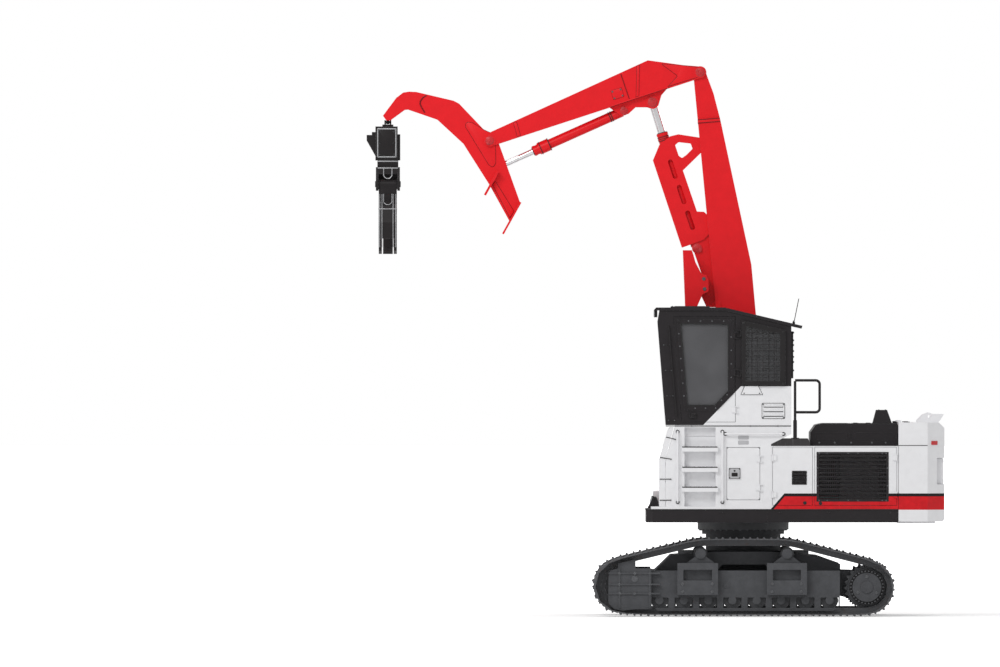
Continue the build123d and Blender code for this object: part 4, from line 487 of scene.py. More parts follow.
STEP_BOXES = ((-1020, -400), (350, 960))        # front and rear ends
TREAD_PITCH = 40
IDLER_X = -1672
STRAP_SCREWS = ((-1905, 660), (-1440, 660), (-1905, 490), (-1440, 490), (-1905, 350), (-1440, 350),
                (IDLER_X, 660), (IDLER_X, 350))
ROLLER_XS = [-1295 + 372 * step for step in range(8)]
FRAME_FACE = 1590                               # of a track frame's outer wall, from the middle
step_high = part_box("side_steps")[1] * 1000
guard_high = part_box("idler_guards")[1] * 1000
fittings = bmesh.new()
treads = bmesh.new()
pads = bmesh.new()
covers = bmesh.new()
for side in (-1, 1):
    outward = (0, side, 0)
    for front, rear in STEP_BOXES:
        for x in (front + 79, rear - 89):
            for z in (380, 497):
                add_bolt(fittings, at(x, side * step_high.y, z), outward, 0.030)
        for rib in range(int((rear - front) / TREAD_PITCH)):
            add_block(treads, at(front + 30 + rib * TREAD_PITCH, side * 1655, step_high.z + 3),
                      0.014, 0.105, 0.006)
    for x, z in STRAP_SCREWS:
        add_bolt(fittings, at(x, side * guard_high.y, z), outward, 0.028)
    cover = at(IDLER_X, side * (guard_high.y - 20), 575)
    add_disc(fittings, cover, outward, 0.052, 0.008, 0.003, 32)
    for turn in (0.0, math.pi):
        spot = cover + Vector((0.034 * math.cos(turn), side * 0.008, 0.034 * math.sin(turn)))
        add_bolt(fittings, spot, outward, 0.014)
    for left, right in zip(ROLLER_XS, ROLLER_XS[1:]):
        add_block(pads, at((left + right) / 2, side * 1400, 240), 0.130, 0.250, 0.180)
    add_frame(covers, side_points(rectangle(-317, -217, 429, 529), side * FRAME_FACE), outward, 0.012,
              0.006, 0.002, 0.018)
    add_plate(covers, side_points(rectangle(-304, -230, 442, 516), side * FRAME_FACE), outward, 0.003,
              0.001)
bmesh.ops.bevel(treads, geom=treads.edges[:], offset=0.0015, segments=1, profile=0.5, affect="EDGES",
                material=-1)
bmesh.ops.bevel(pads, geom=pads.edges[:], offset=0.010, segments=2, profile=0.5, affect="EDGES",
                material=-1)
finished("track_frame_screws", fittings, bolt_steel, "undercarriage")
finished("roller_guards", pads, frame_steel, "undercarriage")
finished("step_treads", treads, frame_steel, "undercarriage")
finished("grease_covers", covers, frame_steel, "undercarriage")


# ---------------------------------------------------------------- roller caps
# Each carrier roller turns on a pin whose hub is closed by a pressed cap with one plug. The bottom
# rollers' pins end in turned discs with one screw.

def add_cap(mesh, place, outward, radius, height, rim, segments, screw):
    """A pin's end cap with a screw in its middle."""
    add_disc(mesh, place, outward, radius, height, rim, segments)
    add_bolt(mesh, place + Vector(outward) * height, outward, screw)


CARRIER_XS = (-665, 660)
carrier_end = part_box("carrier_rollers")[1].y * 1000
roller_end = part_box("bottom_rollers")[1].y * 1000
caps = bmesh.new()
for side in (-1, 1):
    outward = (0, side, 0)
    for x in CARRIER_XS:
        add_cap(caps, at(x, side * carrier_end, 960), outward, 0.060, 0.010, 0.004, 32, 0.026)
    for x in ROLLER_XS:
        add_cap(caps, at(x, side * roller_end, 245), outward, 0.040, 0.008, 0.003, 24, 0.018)
finished("roller_caps", caps, wheel_steel, "undercarriage")


# ---------------------------------------------------------------- slewing ring and deck
# The deck is a welded frame that turns on a ball ring, screwed down from below. Folded dark skirts close
# its sides, with a rubber lip along the top edge, a cover over each joint and lifting clips below it.

RING_TOP = 1.434            # in metres; below it shows the ring, in a lighter grey
CHARCOAL = "292628"
deck_paint = Finish("deck_and_ring_paint")
# below RING_TOP the ring's grey is partly its own colour and partly painted light, raised against the shade under
# the deck
deck_coat = deck_paint.mix(deck_paint.along(2) < RING_TOP, grain(deck_paint, linear("343134"), 0.08),
                           grain(deck_paint, linear("5e5f62"), 0.1))
deck_colour, deck_worn = scuffed(deck_paint, deck_coat, BARE_STEEL, 0.01, 0.35)
deck_paint.set(Base_Color=deck_colour, Roughness=0.5, Metallic=deck_worn * 0.6)
deck_paint.bump(deck_paint.noise(240.0, 2.0), 0.0004, 0.35)
skirt_paint = painted("skirt_paint", CHARCOAL, 0.42, 0.05, 0.3)
dress("deck_frame", deck_paint)
dress("deck_skirts", skirt_paint)

rubber = Finish("rubber_trim")
rubber.set(Base_Color=grain(rubber, linear("1c1b1c"), 0.15, 30.0), Roughness=0.75)
rubber.bump(rubber.noise(300.0, 3.0), 0.0003, 0.4)

RING_SCREWS, RING_CIRCLE = 40, 666
ring_screws = bmesh.new()
for step in range(RING_SCREWS):
    turn = math.tau * (step + 0.5) / RING_SCREWS
    add_bolt(ring_screws, at(RING_CIRCLE * math.cos(turn), RING_CIRCLE * math.sin(turn), 1320),
             (0, 0, -1), 0.030)
finished("ring_screws", ring_screws, bolt_steel, "upper")


def cross_points(outline, x):
    """Workshop points (y, z) on an upright plane across the machine."""
    return [at(x, y, z) for y, z in outline]


LIP_LOW, LIP_HIGH = 1618, 1638
JOINT_X = 361
CLIP_XS, CLIP_HEIGHT = (-330, 545, 1310), 9
CORNER_PLATE = [(2215, 1600), (2350, 1600), (2350, 1480), (2290, 1480), (2240, 1540)]
CORNER_HEIGHT = 6
skirt_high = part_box("deck_skirts")[1]
lips = bmesh.new()
joints = bmesh.new()
for side in (-1, 1):
    face = side * skirt_high.y * 1000
    outward = (0, side, 0)
    add_plate(lips, side_points(rectangle(-1440, 2350, LIP_LOW, LIP_HIGH), face), outward, 0.007,
              0.003)
    add_plate(joints, side_points(rectangle(JOINT_X - 9, JOINT_X + 9, 1445, 1612), face), outward,
              0.004, 0.001)
    for x in CLIP_XS:
        clip = [(x - 45, 1600), (x + 45, 1600), (x + 25, 1578), (x - 25, 1578)]
        add_plate(joints, side_points(clip, face), outward, CLIP_HEIGHT / 1000, 0.002)
        add_bolt(joints, at(x, face + side * CLIP_HEIGHT, 1590), outward, 0.010)
    add_plate(joints, side_points(CORNER_PLATE, face), outward, CORNER_HEIGHT / 1000, 0.002)
    for x, z in ((2250, 1582), (2330, 1582), (2330, 1500)):
        add_bolt(joints, at(x, face + side * CORNER_HEIGHT, z), outward, 0.014)
add_plate(lips, cross_points(rectangle(-1370, 1370, LIP_LOW, LIP_HIGH), -1495), (-1, 0, 0), 0.006,
          0.002)
finished("skirt_lips", lips, rubber, "upper")
finished("skirt_joint_covers", joints, skirt_paint, "upper")


# ---------------------------------------------------------------- riser and ladder
# A welded box under the cab, painted with the body. The ladder is let into its side: folded rungs with a
# sawtooth grip edge. Grab rails end in round flanges with screws, and a box-section guard, held by
# black straps, stands in front.

WHITE = "eaeaec"
body_white = painted("body_enamel", WHITE, 0.34, 0.02, 0.2)
for node in ("riser", "front_guard", "ladder", "handrails", "tool_door", "tool_box", "fuel_tank",
             "hydraulic_tank", "lifting_brackets"):
    dress(node, body_white)
black_steel = painted("black_steel_paint", "262425", 0.45, 0.08, 0.4)

CAB_SIDE = -1450            # the outer wall of the riser and of the cab
NEAR = (0, -1, 0)           # outwards on the cab's side of the machine
LADDER_LEFT, LADDER_RIGHT = -945, -405
RUNG_HEIGHTS, RUNG_FRONT = (1905, 2210, 2520), CAB_SIDE - 60
TEETH, TOOTH_PITCH = 27, 20
grips = bmesh.new()
for z in RUNG_HEIGHTS:
    for tooth in range(TEETH):
        x = LADDER_LEFT + tooth * TOOTH_PITCH
        tip = side_points([(x, z + 75), (x + 14, z + 75), (x + 7, z + 87)], RUNG_FRONT)
        add_plate(grips, tip, (0, 1, 0), 0.006, 0.0)
    add_plate(grips, side_points(rectangle(LADDER_LEFT, LADDER_RIGHT, z + 62, z + 75), RUNG_FRONT), NEAR,
              0.003, 0.001)
finished("ladder_grips", grips, black_steel, "upper")

RAIL_FEET = ((-1015, 1745), (-1015, 2825), (-330, 1745), (-330, 2825), (-285, 2790), (605, 2790))
feet = bmesh.new()
riser_screws = bmesh.new()
for x, z in RAIL_FEET:
    foot = at(x, CAB_SIDE, z)
    add_disc(feet, foot, NEAR, 0.029, 0.008, 0.003)
    for turn in (math.pi / 4, -3 * math.pi / 4):
        spot = foot + Vector((0.021 * math.cos(turn), -0.008, 0.021 * math.sin(turn)))
        add_bolt(riser_screws, spot, NEAR, 0.009)
finished("rail_flanges", feet, black_steel, "upper")

STRAP_WIDTH, STRAP_HEIGHT = 12, 10
STRAPS = ((-1290, -1110, 1770, 0), (-1290, -1110, 2092, 0),     # front, rear, height and lean
          (-1285, -1105, 2425, -28), (-1190, -1040, 2735, -35))
straps = bmesh.new()
for front, rear, z, lean in STRAPS:
    band = [(front, z), (rear, z + lean), (rear, z + STRAP_WIDTH + lean), (front, z + STRAP_WIDTH)]
    add_plate(straps, side_points(band, CAB_SIDE), NEAR, STRAP_HEIGHT / 1000, 0.002)
    add_bolt(riser_screws, at(rear - 14, CAB_SIDE - STRAP_HEIGHT, z + STRAP_WIDTH / 2 + lean), NEAR,
             0.012)
finished("guard_straps", straps, black_steel, "upper")

# two blank plates over the locker, and a strip behind the ladder's top rung
plate_grey = painted("blank_plate_grey", "b9b9bc", 0.4, 0.03, 0.1)
plates = bmesh.new()
for low, high in ((2628, 2690), (2704, 2766)):
    add_plate(plates, side_points(rectangle(-92, 74, low, high), CAB_SIDE), NEAR, 0.003, 0.001, 0.016)
add_plate(plates, side_points(rectangle(-905, -440, 2748, 2762), CAB_SIDE), NEAR, 0.006, 0.002)
finished("riser_blank_plates", plates, plate_grey, "upper")

# the rubber lip on which the cab's floor frame sits
sill = bmesh.new()
add_plate(sill, side_points(rectangle(-1195, 720, 2905, 2918), CAB_SIDE), NEAR, 0.006, 0.002)
finished("cab_mount_lip", sill, rubber, "upper")
for x in (-800, 100, 520):
    add_bolt(riser_screws, at(x, CAB_SIDE - 6, 2911), NEAR, 0.014)
finished("riser_screws", riser_screws, bolt_steel, "upper")


# ---------------------------------------------------------------- tool locker latch
# A paddle latch in a pressed bowl of grey plate, in a black frame held by four screws. The paddle has a
# keyhole over it.

DOOR_BACK = 17              # from the hinges' outer face to the door's skin
LATCH_X, LATCH_Z = -144, 2186
latch = bmesh.new()
bowl = bmesh.new()
latch_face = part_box("tool_door")[0].y * 1000 + DOOR_BACK
bowl_face = latch_face - 3
add_plate(bowl, side_points(rectangle(LATCH_X - 86, LATCH_X + 86, LATCH_Z - 80, LATCH_Z + 80),
                            latch_face), NEAR, 0.003, 0.001, 0.012)
finished("locker_latch_plate", bowl, plate_grey, "tool_door")
add_frame(latch, side_points(rectangle(LATCH_X - 88, LATCH_X + 88, LATCH_Z - 82, LATCH_Z + 82),
                             latch_face), NEAR, 0.007, 0.005, 0.001, 0.012)
add_plate(latch, side_points(rectangle(LATCH_X - 46, LATCH_X + 46, LATCH_Z - 46, LATCH_Z + 10),
                             bowl_face), NEAR, 0.010, 0.003, 0.012)
add_disc(latch, at(LATCH_X, bowl_face, LATCH_Z + 40), NEAR, 0.014, 0.006, 0.002, 24)
for z in (LATCH_Z - 68, LATCH_Z + 68):
    for x in (LATCH_X - 74, LATCH_X + 74):
        add_bolt(latch, at(x, bowl_face, z), NEAR, 0.010)
finished("locker_latch", latch, black_steel, "tool_door")


# ---------------------------------------------------------------- cab shell and roof
# A welded cab in two colours. Everything above the side window's sill and ahead of a slanting line is
# dark, the rest is the body's white. The roof cap is folded plate with a screwed hatch on top.

def two_tone(name, above):
    """Body enamel with the dark colour masked on wherever `above`, built from the finish, is 1."""
    finish = Finish(name)
    coat = finish.mix(above(finish), grain(finish, linear(WHITE), 0.02),
                      grain(finish, linear(CHARCOAL), 0.06))
    colour, worn = scuffed(finish, coat, BARE_STEEL, 0.01, 0.25)
    finish.set(Base_Color=colour, Roughness=finish.noise(3.0, 3.0) * 0.12 + 0.3, Metallic=worn * 0.6,
               Specular_IOR_Level=0.2)
    return finish.bump(finish.noise(240.0, 2.0), 0.0004, 0.35)


SILL = 3.520                # height of the side window's sill, in metres
SLANT_FOOT, SLANT_LEAN = 1.310, 0.975


def cab_masking(finish):
    """1 above the sill, and ahead of the line that slants down and forward from it."""
    x, z = finish.along(0), finish.along(2)
    slant = x + (SILL - z) * SLANT_LEAN < SLANT_FOOT
    return finish.node("ShaderNodeMath", {"operation": "MAXIMUM"}, [z > SILL, slant])


cab_paint = two_tone("cab_enamel", cab_masking)
for node in ("cab_shell", "cab_door"):
    dress(node, cab_paint)
cab_dark = painted("cab_dark_enamel", CHARCOAL, 0.38, 0.05, 0.25)
dress("cab_roof", cab_dark)


def level_points(outline, z):
    """Workshop points (x, y) on a level plane at a height z."""
    return [at(x, y, z) for x, y in outline]


UP = (0, 0, 1)
HATCH_HEIGHT = 16
roof_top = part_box("cab_roof")[1].z * 1000
hatch_top = roof_top + HATCH_HEIGHT
hatch = bmesh.new()
add_plate(hatch, level_points(rectangle(-1120, -520, -1230, -680), roof_top), UP,
          HATCH_HEIGHT / 1000, 0.005, 0.05)
add_plate(hatch, level_points(rectangle(-1060, -580, -1170, -740), hatch_top), UP, 0.006, 0.003, 0.04)
finished("roof_hatch", hatch, cab_dark, "upper")
hatch_screws = bmesh.new()
for x in (-1095, -820, -545):
    for y in (-1205, -705):
        add_bolt(hatch_screws, at(x, y, hatch_top), UP, 0.014)
finished("roof_hatch_screws", hatch_screws, bolt_steel, "upper")


# ---------------------------------------------------------------- cab glass
# Tinted safety glass bonded into rubber seals. The door's pane and the side pane sit a little inside
# the wall, and the rear pane in a seal of its own.

glass = Finish("tinted_glass")
tint = glass.mix(glass.ramp(glass.noise(2.0, 2.0), 0.3, 0.8), linear("616164"), linear("6c6c6f"))
glass.set(Base_Color=tint, Roughness=0.05, Transmission_Weight=0.35, IOR=1.45)
for node in ("cab_glass", "cab_door_glass"):
    dress(node, glass)

DOOR_PANE = [(-875, 3220), (-980, 4485), (-230, 4475), (-230, 3445), (-440, 3220)]
SIDE_PANE = [(30, 3600), (30, 4435), (550, 4325), (550, 3600)]
REARWARD = (1, 0, 0)
door_face = CAB_SIDE - 14
rear_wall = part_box("cab_shell")[1].x
rear_face = (rear_wall - SWING_X) * 1000
seals = bmesh.new()
add_frame(seals, side_points(DOOR_PANE, door_face), NEAR, 0.016, 0.007, 0.003, 0.025)
finished("door_window_seal", seals, rubber, "cab_door")

seals = bmesh.new()
add_frame(seals, side_points(SIDE_PANE, CAB_SIDE - 1), NEAR, 0.014, 0.004, 0.0015)
add_frame(seals, cross_points(rectangle(-1320, -560, 3700, 4300), rear_face), REARWARD, 0.016, 0.006,
          0.002, 0.02)
finished("cab_window_seals", seals, rubber, "upper")


# ---------------------------------------------------------------- cab door fittings
# The door's pane is clamped by a row of screws and a pair of black clip bars at each corner. Below it
# sits a recessed handle with its lock.

door_screws = bmesh.new()
PANE_SCREWS = [(-848, 4519), (-664, 4518), (-488, 4517), (-310, 4516), (-195, 4275), (-195, 4070),
               (-195, 3863), (-195, 3656), (-260, 3390), (-345, 3305), (-434, 3185), (-589, 3185),
               (-747, 3185), (-997, 4323), (-981, 4131), (-966, 3943), (-951, 3762), (-935, 3566),
               (-919, 3373)]
for x, z in PANE_SCREWS:
    add_bolt(door_screws, at(x, door_face, z), NEAR, 0.014)
finished("door_screws", door_screws, bolt_steel, "cab_door")

clips = bmesh.new()
for x, z, lean in ((-1000, 4510, 1), (-190, 4505, -1), (-195, 3440, 1), (-880, 3190, -1)):
    for shift in (-14, 14):
        bar = [(x - 26, z + shift - 24 * lean), (x - 18, z + shift - 30 * lean),
               (x + 26, z + shift + 24 * lean), (x + 18, z + shift + 30 * lean)]
        add_plate(clips, side_points(bar, door_face), NEAR, 0.008, 0.002)
finished("door_corner_clips", clips, black_steel, "cab_door")

PADDLE = [(-812, 3050), (-752, 3050), (-752, 3062), (-800, 3090), (-812, 3090)]
handle = bmesh.new()
handle_face = CAB_SIDE - 30
add_frame(handle, side_points(rectangle(-835, -730, 3035, 3105), handle_face), NEAR, 0.010, 0.006,
          0.002, 0.010)
add_plate(handle, side_points(PADDLE, handle_face), NEAR, 0.012, 0.003)
add_disc(handle, at(-757, handle_face, 3084), NEAR, 0.011, 0.008, 0.002, 20)
finished("door_handle", handle, black_steel, "cab_door")


# ---------------------------------------------------------------- cab side and pillars
# Small folded parts screwed to the cab's side on rubber gaskets: a cover under the sill and the louvre of
# the air intake. Black clips run along the front pillar, with a bent grab rail beside the door.

def add_bar(mesh, points, radius, segments=16):
    """A round bar mitred at each of its corners and closed at both ends."""
    points = [Vector(point) for point in points]
    way = (points[1] - points[0]).normalized()
    start = Matrix.Translation(points[0]) @ turn_to(way)
    ring = bmesh.ops.create_circle(mesh, cap_ends=True, segments=segments, radius=radius,
                                   matrix=start)["verts"]
    cap = ring[0].link_faces[0]
    for step in range(1, len(points)):
        after = (points[step + 1] - points[step]).normalized() if step + 1 < len(points) else way
        mitre = (way + after).normalized()
        grown = bmesh.ops.extrude_face_region(mesh, geom=[cap])["geom"]
        for vert in corners_of(grown):
            vert.co += way * ((points[step] - vert.co).dot(mitre) / way.dot(mitre))
        cap = faces_of(grown)[0]
        way = after


def louvre_outline(grow):
    """The outline of the air intake's louvre, grown by `grow` on each side."""
    return side_points(rectangle(280 - grow, 620 + grow, 3028 - grow, 3256 + grow), CAB_SIDE)


COVER_HEIGHT, LOUVRE_HEIGHT = 22, 8
side_fittings = bmesh.new()
add_plate(side_fittings, side_points([(15, 3524), (217, 3524), (280, 3394), (-42, 3394)], CAB_SIDE), NEAR,
          COVER_HEIGHT / 1000, 0.005)
add_frame(side_fittings, louvre_outline(0), NEAR, 0.020, LOUVRE_HEIGHT / 1000, 0.003, 0.016)
for z in (3055, 3125, 3195):
    slat = [at(302, CAB_SIDE, z + 34), at(598, CAB_SIDE, z + 34), at(598, CAB_SIDE - 20, z + 12),
            at(302, CAB_SIDE - 20, z + 12)]
    add_plate(side_fittings, slat, (0, -0.75, 1.0), 0.003, 0.001)
finished("cab_side_covers", side_fittings, body_white, "upper")
gaskets = bmesh.new()
add_plate(gaskets, side_points([(8, 3531), (222, 3531), (290, 3387), (-52, 3387)], CAB_SIDE), NEAR, 0.004,
          0.001)
add_frame(gaskets, louvre_outline(8), NEAR, 0.016, 0.004, 0.001, 0.020)
finished("cab_cover_gaskets", gaskets, rubber, "upper")

cab_screws = bmesh.new()
for x, z in ((292, 3040), (608, 3040), (292, 3244), (608, 3244)):
    add_bolt(cab_screws, at(x, CAB_SIDE - LOUVRE_HEIGHT, z), NEAR, 0.012)
for x in (2, 238):
    add_bolt(cab_screws, at(x, CAB_SIDE - COVER_HEIGHT, 3412), NEAR, 0.012)

CLIP_FOOT, PILLAR_LEAN = (-1110, 2999), 0.06    # the lowest clip's middle; back to front over height
pillar = bmesh.new()
for z in (2999, 3373, 3762, 4151):
    middle = CLIP_FOOT[0] - (z - CLIP_FOOT[1]) * PILLAR_LEAN
    add_plate(pillar, side_points(rectangle(middle - 58, middle + 58, z - 7, z + 7), CAB_SIDE), NEAR,
              0.010, 0.003)
    for end in (-46, 46):
        add_bolt(cab_screws, at(middle + end, CAB_SIDE - 10, z), NEAR, 0.011)
GRAB_RAIL = [(-1150, CAB_SIDE, 4430), (-1150, CAB_SIDE - 42, 4430), (-1032, CAB_SIDE - 42, 3075),
             (-1032, CAB_SIDE, 3075)]
add_bar(pillar, [at(*point) for point in GRAB_RAIL], 0.011)
finished("pillar_clips_and_rail", pillar, black_steel, "upper")


# ---------------------------------------------------------------- rear window guard
# A screwed frame of black plate behind the cab, with seven upright bars welded across its opening.

GUARD_LEFT, GUARD_RIGHT = -1385, -495
BARS = 8                    # spaces between the bars
BAR_OUT, GUARD_HEIGHT = 18, 30
guard = bmesh.new()
add_frame(guard, cross_points(rectangle(GUARD_LEFT, GUARD_RIGHT, 3640, 4360), rear_face), REARWARD, 0.045,
          GUARD_HEIGHT / 1000, 0.004, 0.03)
for step in range(1, BARS):
    y = GUARD_LEFT + (GUARD_RIGHT - GUARD_LEFT) * step / BARS
    add_bar(guard, [at(rear_face + BAR_OUT, y, 3660), at(rear_face + BAR_OUT, y, 4340)], 0.008, 8)
for z in (3762, 3891, 3969, 4058, 4150, 4222, 4340):
    for y in (GUARD_LEFT + 22.5, GUARD_RIGHT - 22.5):
        add_bolt(cab_screws, at(rear_face + GUARD_HEIGHT, y, z), REARWARD, 0.022)
finished("rear_window_guard", guard, black_steel, "upper")
finished("cab_screws", cab_screws, bolt_steel, "upper")


# ---------------------------------------------------------------- side guard
# The side window's hinged guard carries a woven wire screen behind its bars. The screen's top edge slopes
# down towards the rear with the roof. A screw holds each corner.

for node in ("side_guard", "rear_handrail", "antenna", "work_lamps"):
    dress(node, black_steel)
SCREEN_FRONT, SCREEN_LENGTH = 20, 530
SCREEN_FOOT, SCREEN_TOP, TOP_SLOPE = 3598, 4437, 0.211
UPRIGHTS, CROSS_WIRES = 10, 15
screen = bmesh.new()
for step in range(1, UPRIGHTS):
    x = SCREEN_FRONT + SCREEN_LENGTH * step / UPRIGHTS
    top = SCREEN_TOP - (x - SCREEN_FRONT) * TOP_SLOPE
    add_bar(screen, [at(x, CAB_SIDE - 18, SCREEN_FOOT), at(x, CAB_SIDE - 18, top)], 0.0025, 6)
for step in range(1, CROSS_WIRES):
    z = SCREEN_FOOT + (SCREEN_TOP - SCREEN_FOOT) * step / CROSS_WIRES
    end = min(552, SCREEN_FRONT + (SCREEN_TOP - z) / TOP_SLOPE)
    add_bar(screen, [at(18, CAB_SIDE - 14, z), at(end, CAB_SIDE - 14, z)], 0.0025, 6)
for x, z in ((-8, 3562), (600, 3562), (-8, 4490), (600, 4352)):
    add_bolt(screen, at(x, CAB_SIDE - 46, z), NEAR, 0.020)
finished("side_screen", screen, black_steel, "side_guard")


# ---------------------------------------------------------------- work lamps and antenna
# Four square lamps under the front edge of the cab's roof and two on the deck's nose, turned a little
# upwards, each with a ribbed clear lens. The whip antenna is a thin rod in a rubber foot.

lens = Finish("lamp_lens")
RIBS = 130.0                # to the metre
ribs = (lens.along(1) * RIBS % 1.0) - 0.5
lens.set(Base_Color=grain(lens, linear("d8dadc"), 0.05, 20.0), Roughness=0.08, Coat_Weight=0.6)
lens.bump(abs(ribs), 0.002, 0.5)

ROOF_LAMPS, ROOF_LAMP_X, ROOF_LAMP_Z = (-1330, -1110, -770, -550), -1372, 4628
lenses = bmesh.new()
for y in ROOF_LAMPS:
    pane = rectangle(y - 46, y + 46, ROOF_LAMP_Z - 42, ROOF_LAMP_Z + 42)
    add_plate(lenses, cross_points(pane, ROOF_LAMP_X), (-1, 0, 0), 0.008, 0.003, 0.012)
lean = Vector((-113, 0, 35)).normalized()       # the way that a lamp on the nose shines
across, up = Vector((0, 0.062, 0)), Vector((35, 0, 113)).normalized() * 0.046
for y in (-1260, 350):
    middle = at(-1417.5, y, 1781.5)
    add_plate(lenses, [middle - across - up, middle + across - up, middle + across + up,
                       middle - across + up], lean, 0.007, 0.003, 0.012)
finished("lamp_lenses", lenses, lens, "upper")

antenna_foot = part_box("antenna")[0].z * 1000 + 4
foot = bmesh.new()
add_disc(foot, at(760, -1390, antenna_foot), UP, 0.016, 0.050, 0.004, 20, 0.009)
finished("antenna_foot", foot, rubber, "upper")


# ---------------------------------------------------------------- engine house and doors
# Folded sheet housing in white. A red band with a black line over it runs along the foot of the doors and
# round the counterweight, and climbs at a slant behind the riser. The cooling grille stays dark.

# in metres: the band's heights, and where its slanting front end crosses its foot
BAND_LOW, BAND_HIGH, LINE_HIGH = 1.630, 1.835, 1.880
SLANT_X, SLANT_Z, SLANT_SLOPE, LINE_WIDTH = 1.772, 1.648, 0.863, 0.045


def banded(name, panel=None):
    """White enamel with the red and black band, and a dark panel that covers (left, right, low, high)."""
    finish = Finish(name)
    x, z = finish.along(0), finish.along(2)
    ahead = x - (z - SLANT_Z) * SLANT_SLOPE - SLANT_X
    red_part = (ahead > LINE_WIDTH) * (z > BAND_LOW) * (z < BAND_HIGH)
    slant_line = (ahead > 0.0) * (ahead < LINE_WIDTH) * (z < LINE_HIGH)
    level_line = (ahead > 0.0) * (z > BAND_HIGH) * (z < LINE_HIGH)
    line = finish.node("ShaderNodeMath", {"operation": "MAXIMUM"}, [slant_line, level_line])
    coat = finish.mix(red_part, grain(finish, linear(WHITE), 0.02), grain(finish, linear("ce1921")))
    coat = finish.mix(line, coat, linear("1c191a"))
    if panel:
        left, right, low, high = (length / 1000 for length in panel)
        covered = (x > left + SWING_X) * (x < right + SWING_X) * (z > low) * (z < high)
        covered = covered * (finish.along(1) < -1.40)
        coat = finish.mix(covered, coat, grain(finish, linear("2b282a"), 0.06))
    colour, worn = scuffed(finish, coat, BARE_STEEL, 0.01, 0.25)
    finish.set(Base_Color=colour, Roughness=finish.noise(3.0, 3.0) * 0.12 + 0.28, Metallic=worn * 0.6,
               Specular_IOR_Level=0.2)
    return finish.bump(finish.noise(240.0, 2.0), 0.0004, 0.35)


VENT = (735, 960, 2014, 2226)                   # left, right, low and high
GRILLE = (1110, 2215, 1755, 2515)
house_paint = banded("house_enamel")
for node in ("engine_house", "pump_door", "counterweight"):
    dress(node, house_paint)
front_door_paint = banded("front_door_enamel", VENT)
dress("engine_door_front", front_door_paint)
grille_paint = banded("grille_door_enamel", GRILLE)
dress("engine_door_rear", grille_paint)
vent_dark = painted("grille_enamel", "2a2729", 0.5, 0.06, 0.25)

HOUSE_SIDE = 1450           # the doors' outer faces, from the middle
MESH_LEFT, MESH_RIGHT, MESH_LOW, MESH_HIGH = 1112, 2213, 1757, 2513
UPRIGHTS, CROSS_BARS = 34, 24
grille = bmesh.new()
add_frame(grille, side_points(rectangle(MESH_LEFT, MESH_RIGHT, MESH_LOW, MESH_HIGH), -HOUSE_SIDE), NEAR,
          0.032, 0.006, 0.002, 0.060)
for step in range(1, UPRIGHTS):
    x = MESH_LEFT + (MESH_RIGHT - MESH_LEFT) * step / UPRIGHTS
    add_bar(grille, [at(x, -HOUSE_SIDE + 4, 1765), at(x, -HOUSE_SIDE + 4, 2505)], 0.003, 6)
for step in range(1, CROSS_BARS):
    z = MESH_LOW + (MESH_HIGH - MESH_LOW) * step / CROSS_BARS
    add_bar(grille, [at(1120, -HOUSE_SIDE + 1, z), at(2205, -HOUSE_SIDE + 1, z)], 0.003, 6)
finished("grille_screen", grille, vent_dark, "engine_door_rear")
grille_screws = bmesh.new()
places = [(x, z) for x in (1150, 1273, 1594, 1745, 2115, 2175) for z in (1773, 2497)]
places += [(x, z) for z in (1998, 2268) for x in (1128, 2197)]
for x, z in places:
    add_bolt(grille_screws, at(x, -HOUSE_SIDE - 6, z), NEAR, 0.013)
finished("grille_screws", grille_screws, bolt_steel, "engine_door_rear")


def add_lock(mesh, x, z, side):
    """A flush quarter-turn lock: a flange, its barrel and the bar of its grip."""
    way, face = (0, side, 0), side * HOUSE_SIDE
    add_disc(mesh, at(x, face, z), way, 0.027, 0.004, 0.002, 28)
    add_disc(mesh, at(x, face + side * 4, z), way, 0.016, 0.004, 0.002, 24)
    add_plate(mesh, side_points(rectangle(x - 3, x + 3, z - 13, z + 13), face + side * 8), way, 0.003,
              0.001)


def add_slats(mesh, left, right, low, count, pitch, depth, rise, side):
    """Folded slats of a louvre that lean outwards towards their feet."""
    for step in range(count):
        z, foot = low + step * pitch, side * (HOUSE_SIDE + depth)
        slat = [at(left, side * HOUSE_SIDE, z + rise), at(right, side * HOUSE_SIDE, z + rise),
                at(right, foot, z), at(left, foot, z)]
        add_plate(mesh, slat, (0, side, 1), 0.002, 0.0)


front_vent = bmesh.new()
add_lock(front_vent, 932, 1735, -1)
add_frame(front_vent, side_points(rectangle(733, 962, 2014, 2226), -HOUSE_SIDE), NEAR, 0.012, 0.006,
          0.002)
add_slats(front_vent, 744, 951, 2024, 9, 22.5, 8, 12, -1)
finished("front_door_vent_and_locks", front_vent, vent_dark, "engine_door_front")
rear_lock = bmesh.new()
add_lock(rear_lock, 1170, 1728, -1)
finished("rear_door_locks", rear_lock, vent_dark, "engine_door_rear")

FAR = (0, 1, 0)
louvre = bmesh.new()
for z in (1740, 2540):
    add_lock(louvre, 1170, z, 1)
add_frame(louvre, side_points(rectangle(1290, 2130, 1930, 2430), HOUSE_SIDE), FAR, 0.014, 0.005, 0.002,
          0.030)
add_slats(louvre, 1320, 2100, 1962, 12, 37, 12, 22, 1)
finished("pump_door_louvre", louvre, vent_dark, "pump_door")


# ---------------------------------------------------------------- walkway and engine
# The cover behind the cab is a step of raised-lug tread plate, on which the lugs' tops are rubbed bright.
# Behind the doors stands the painted engine.

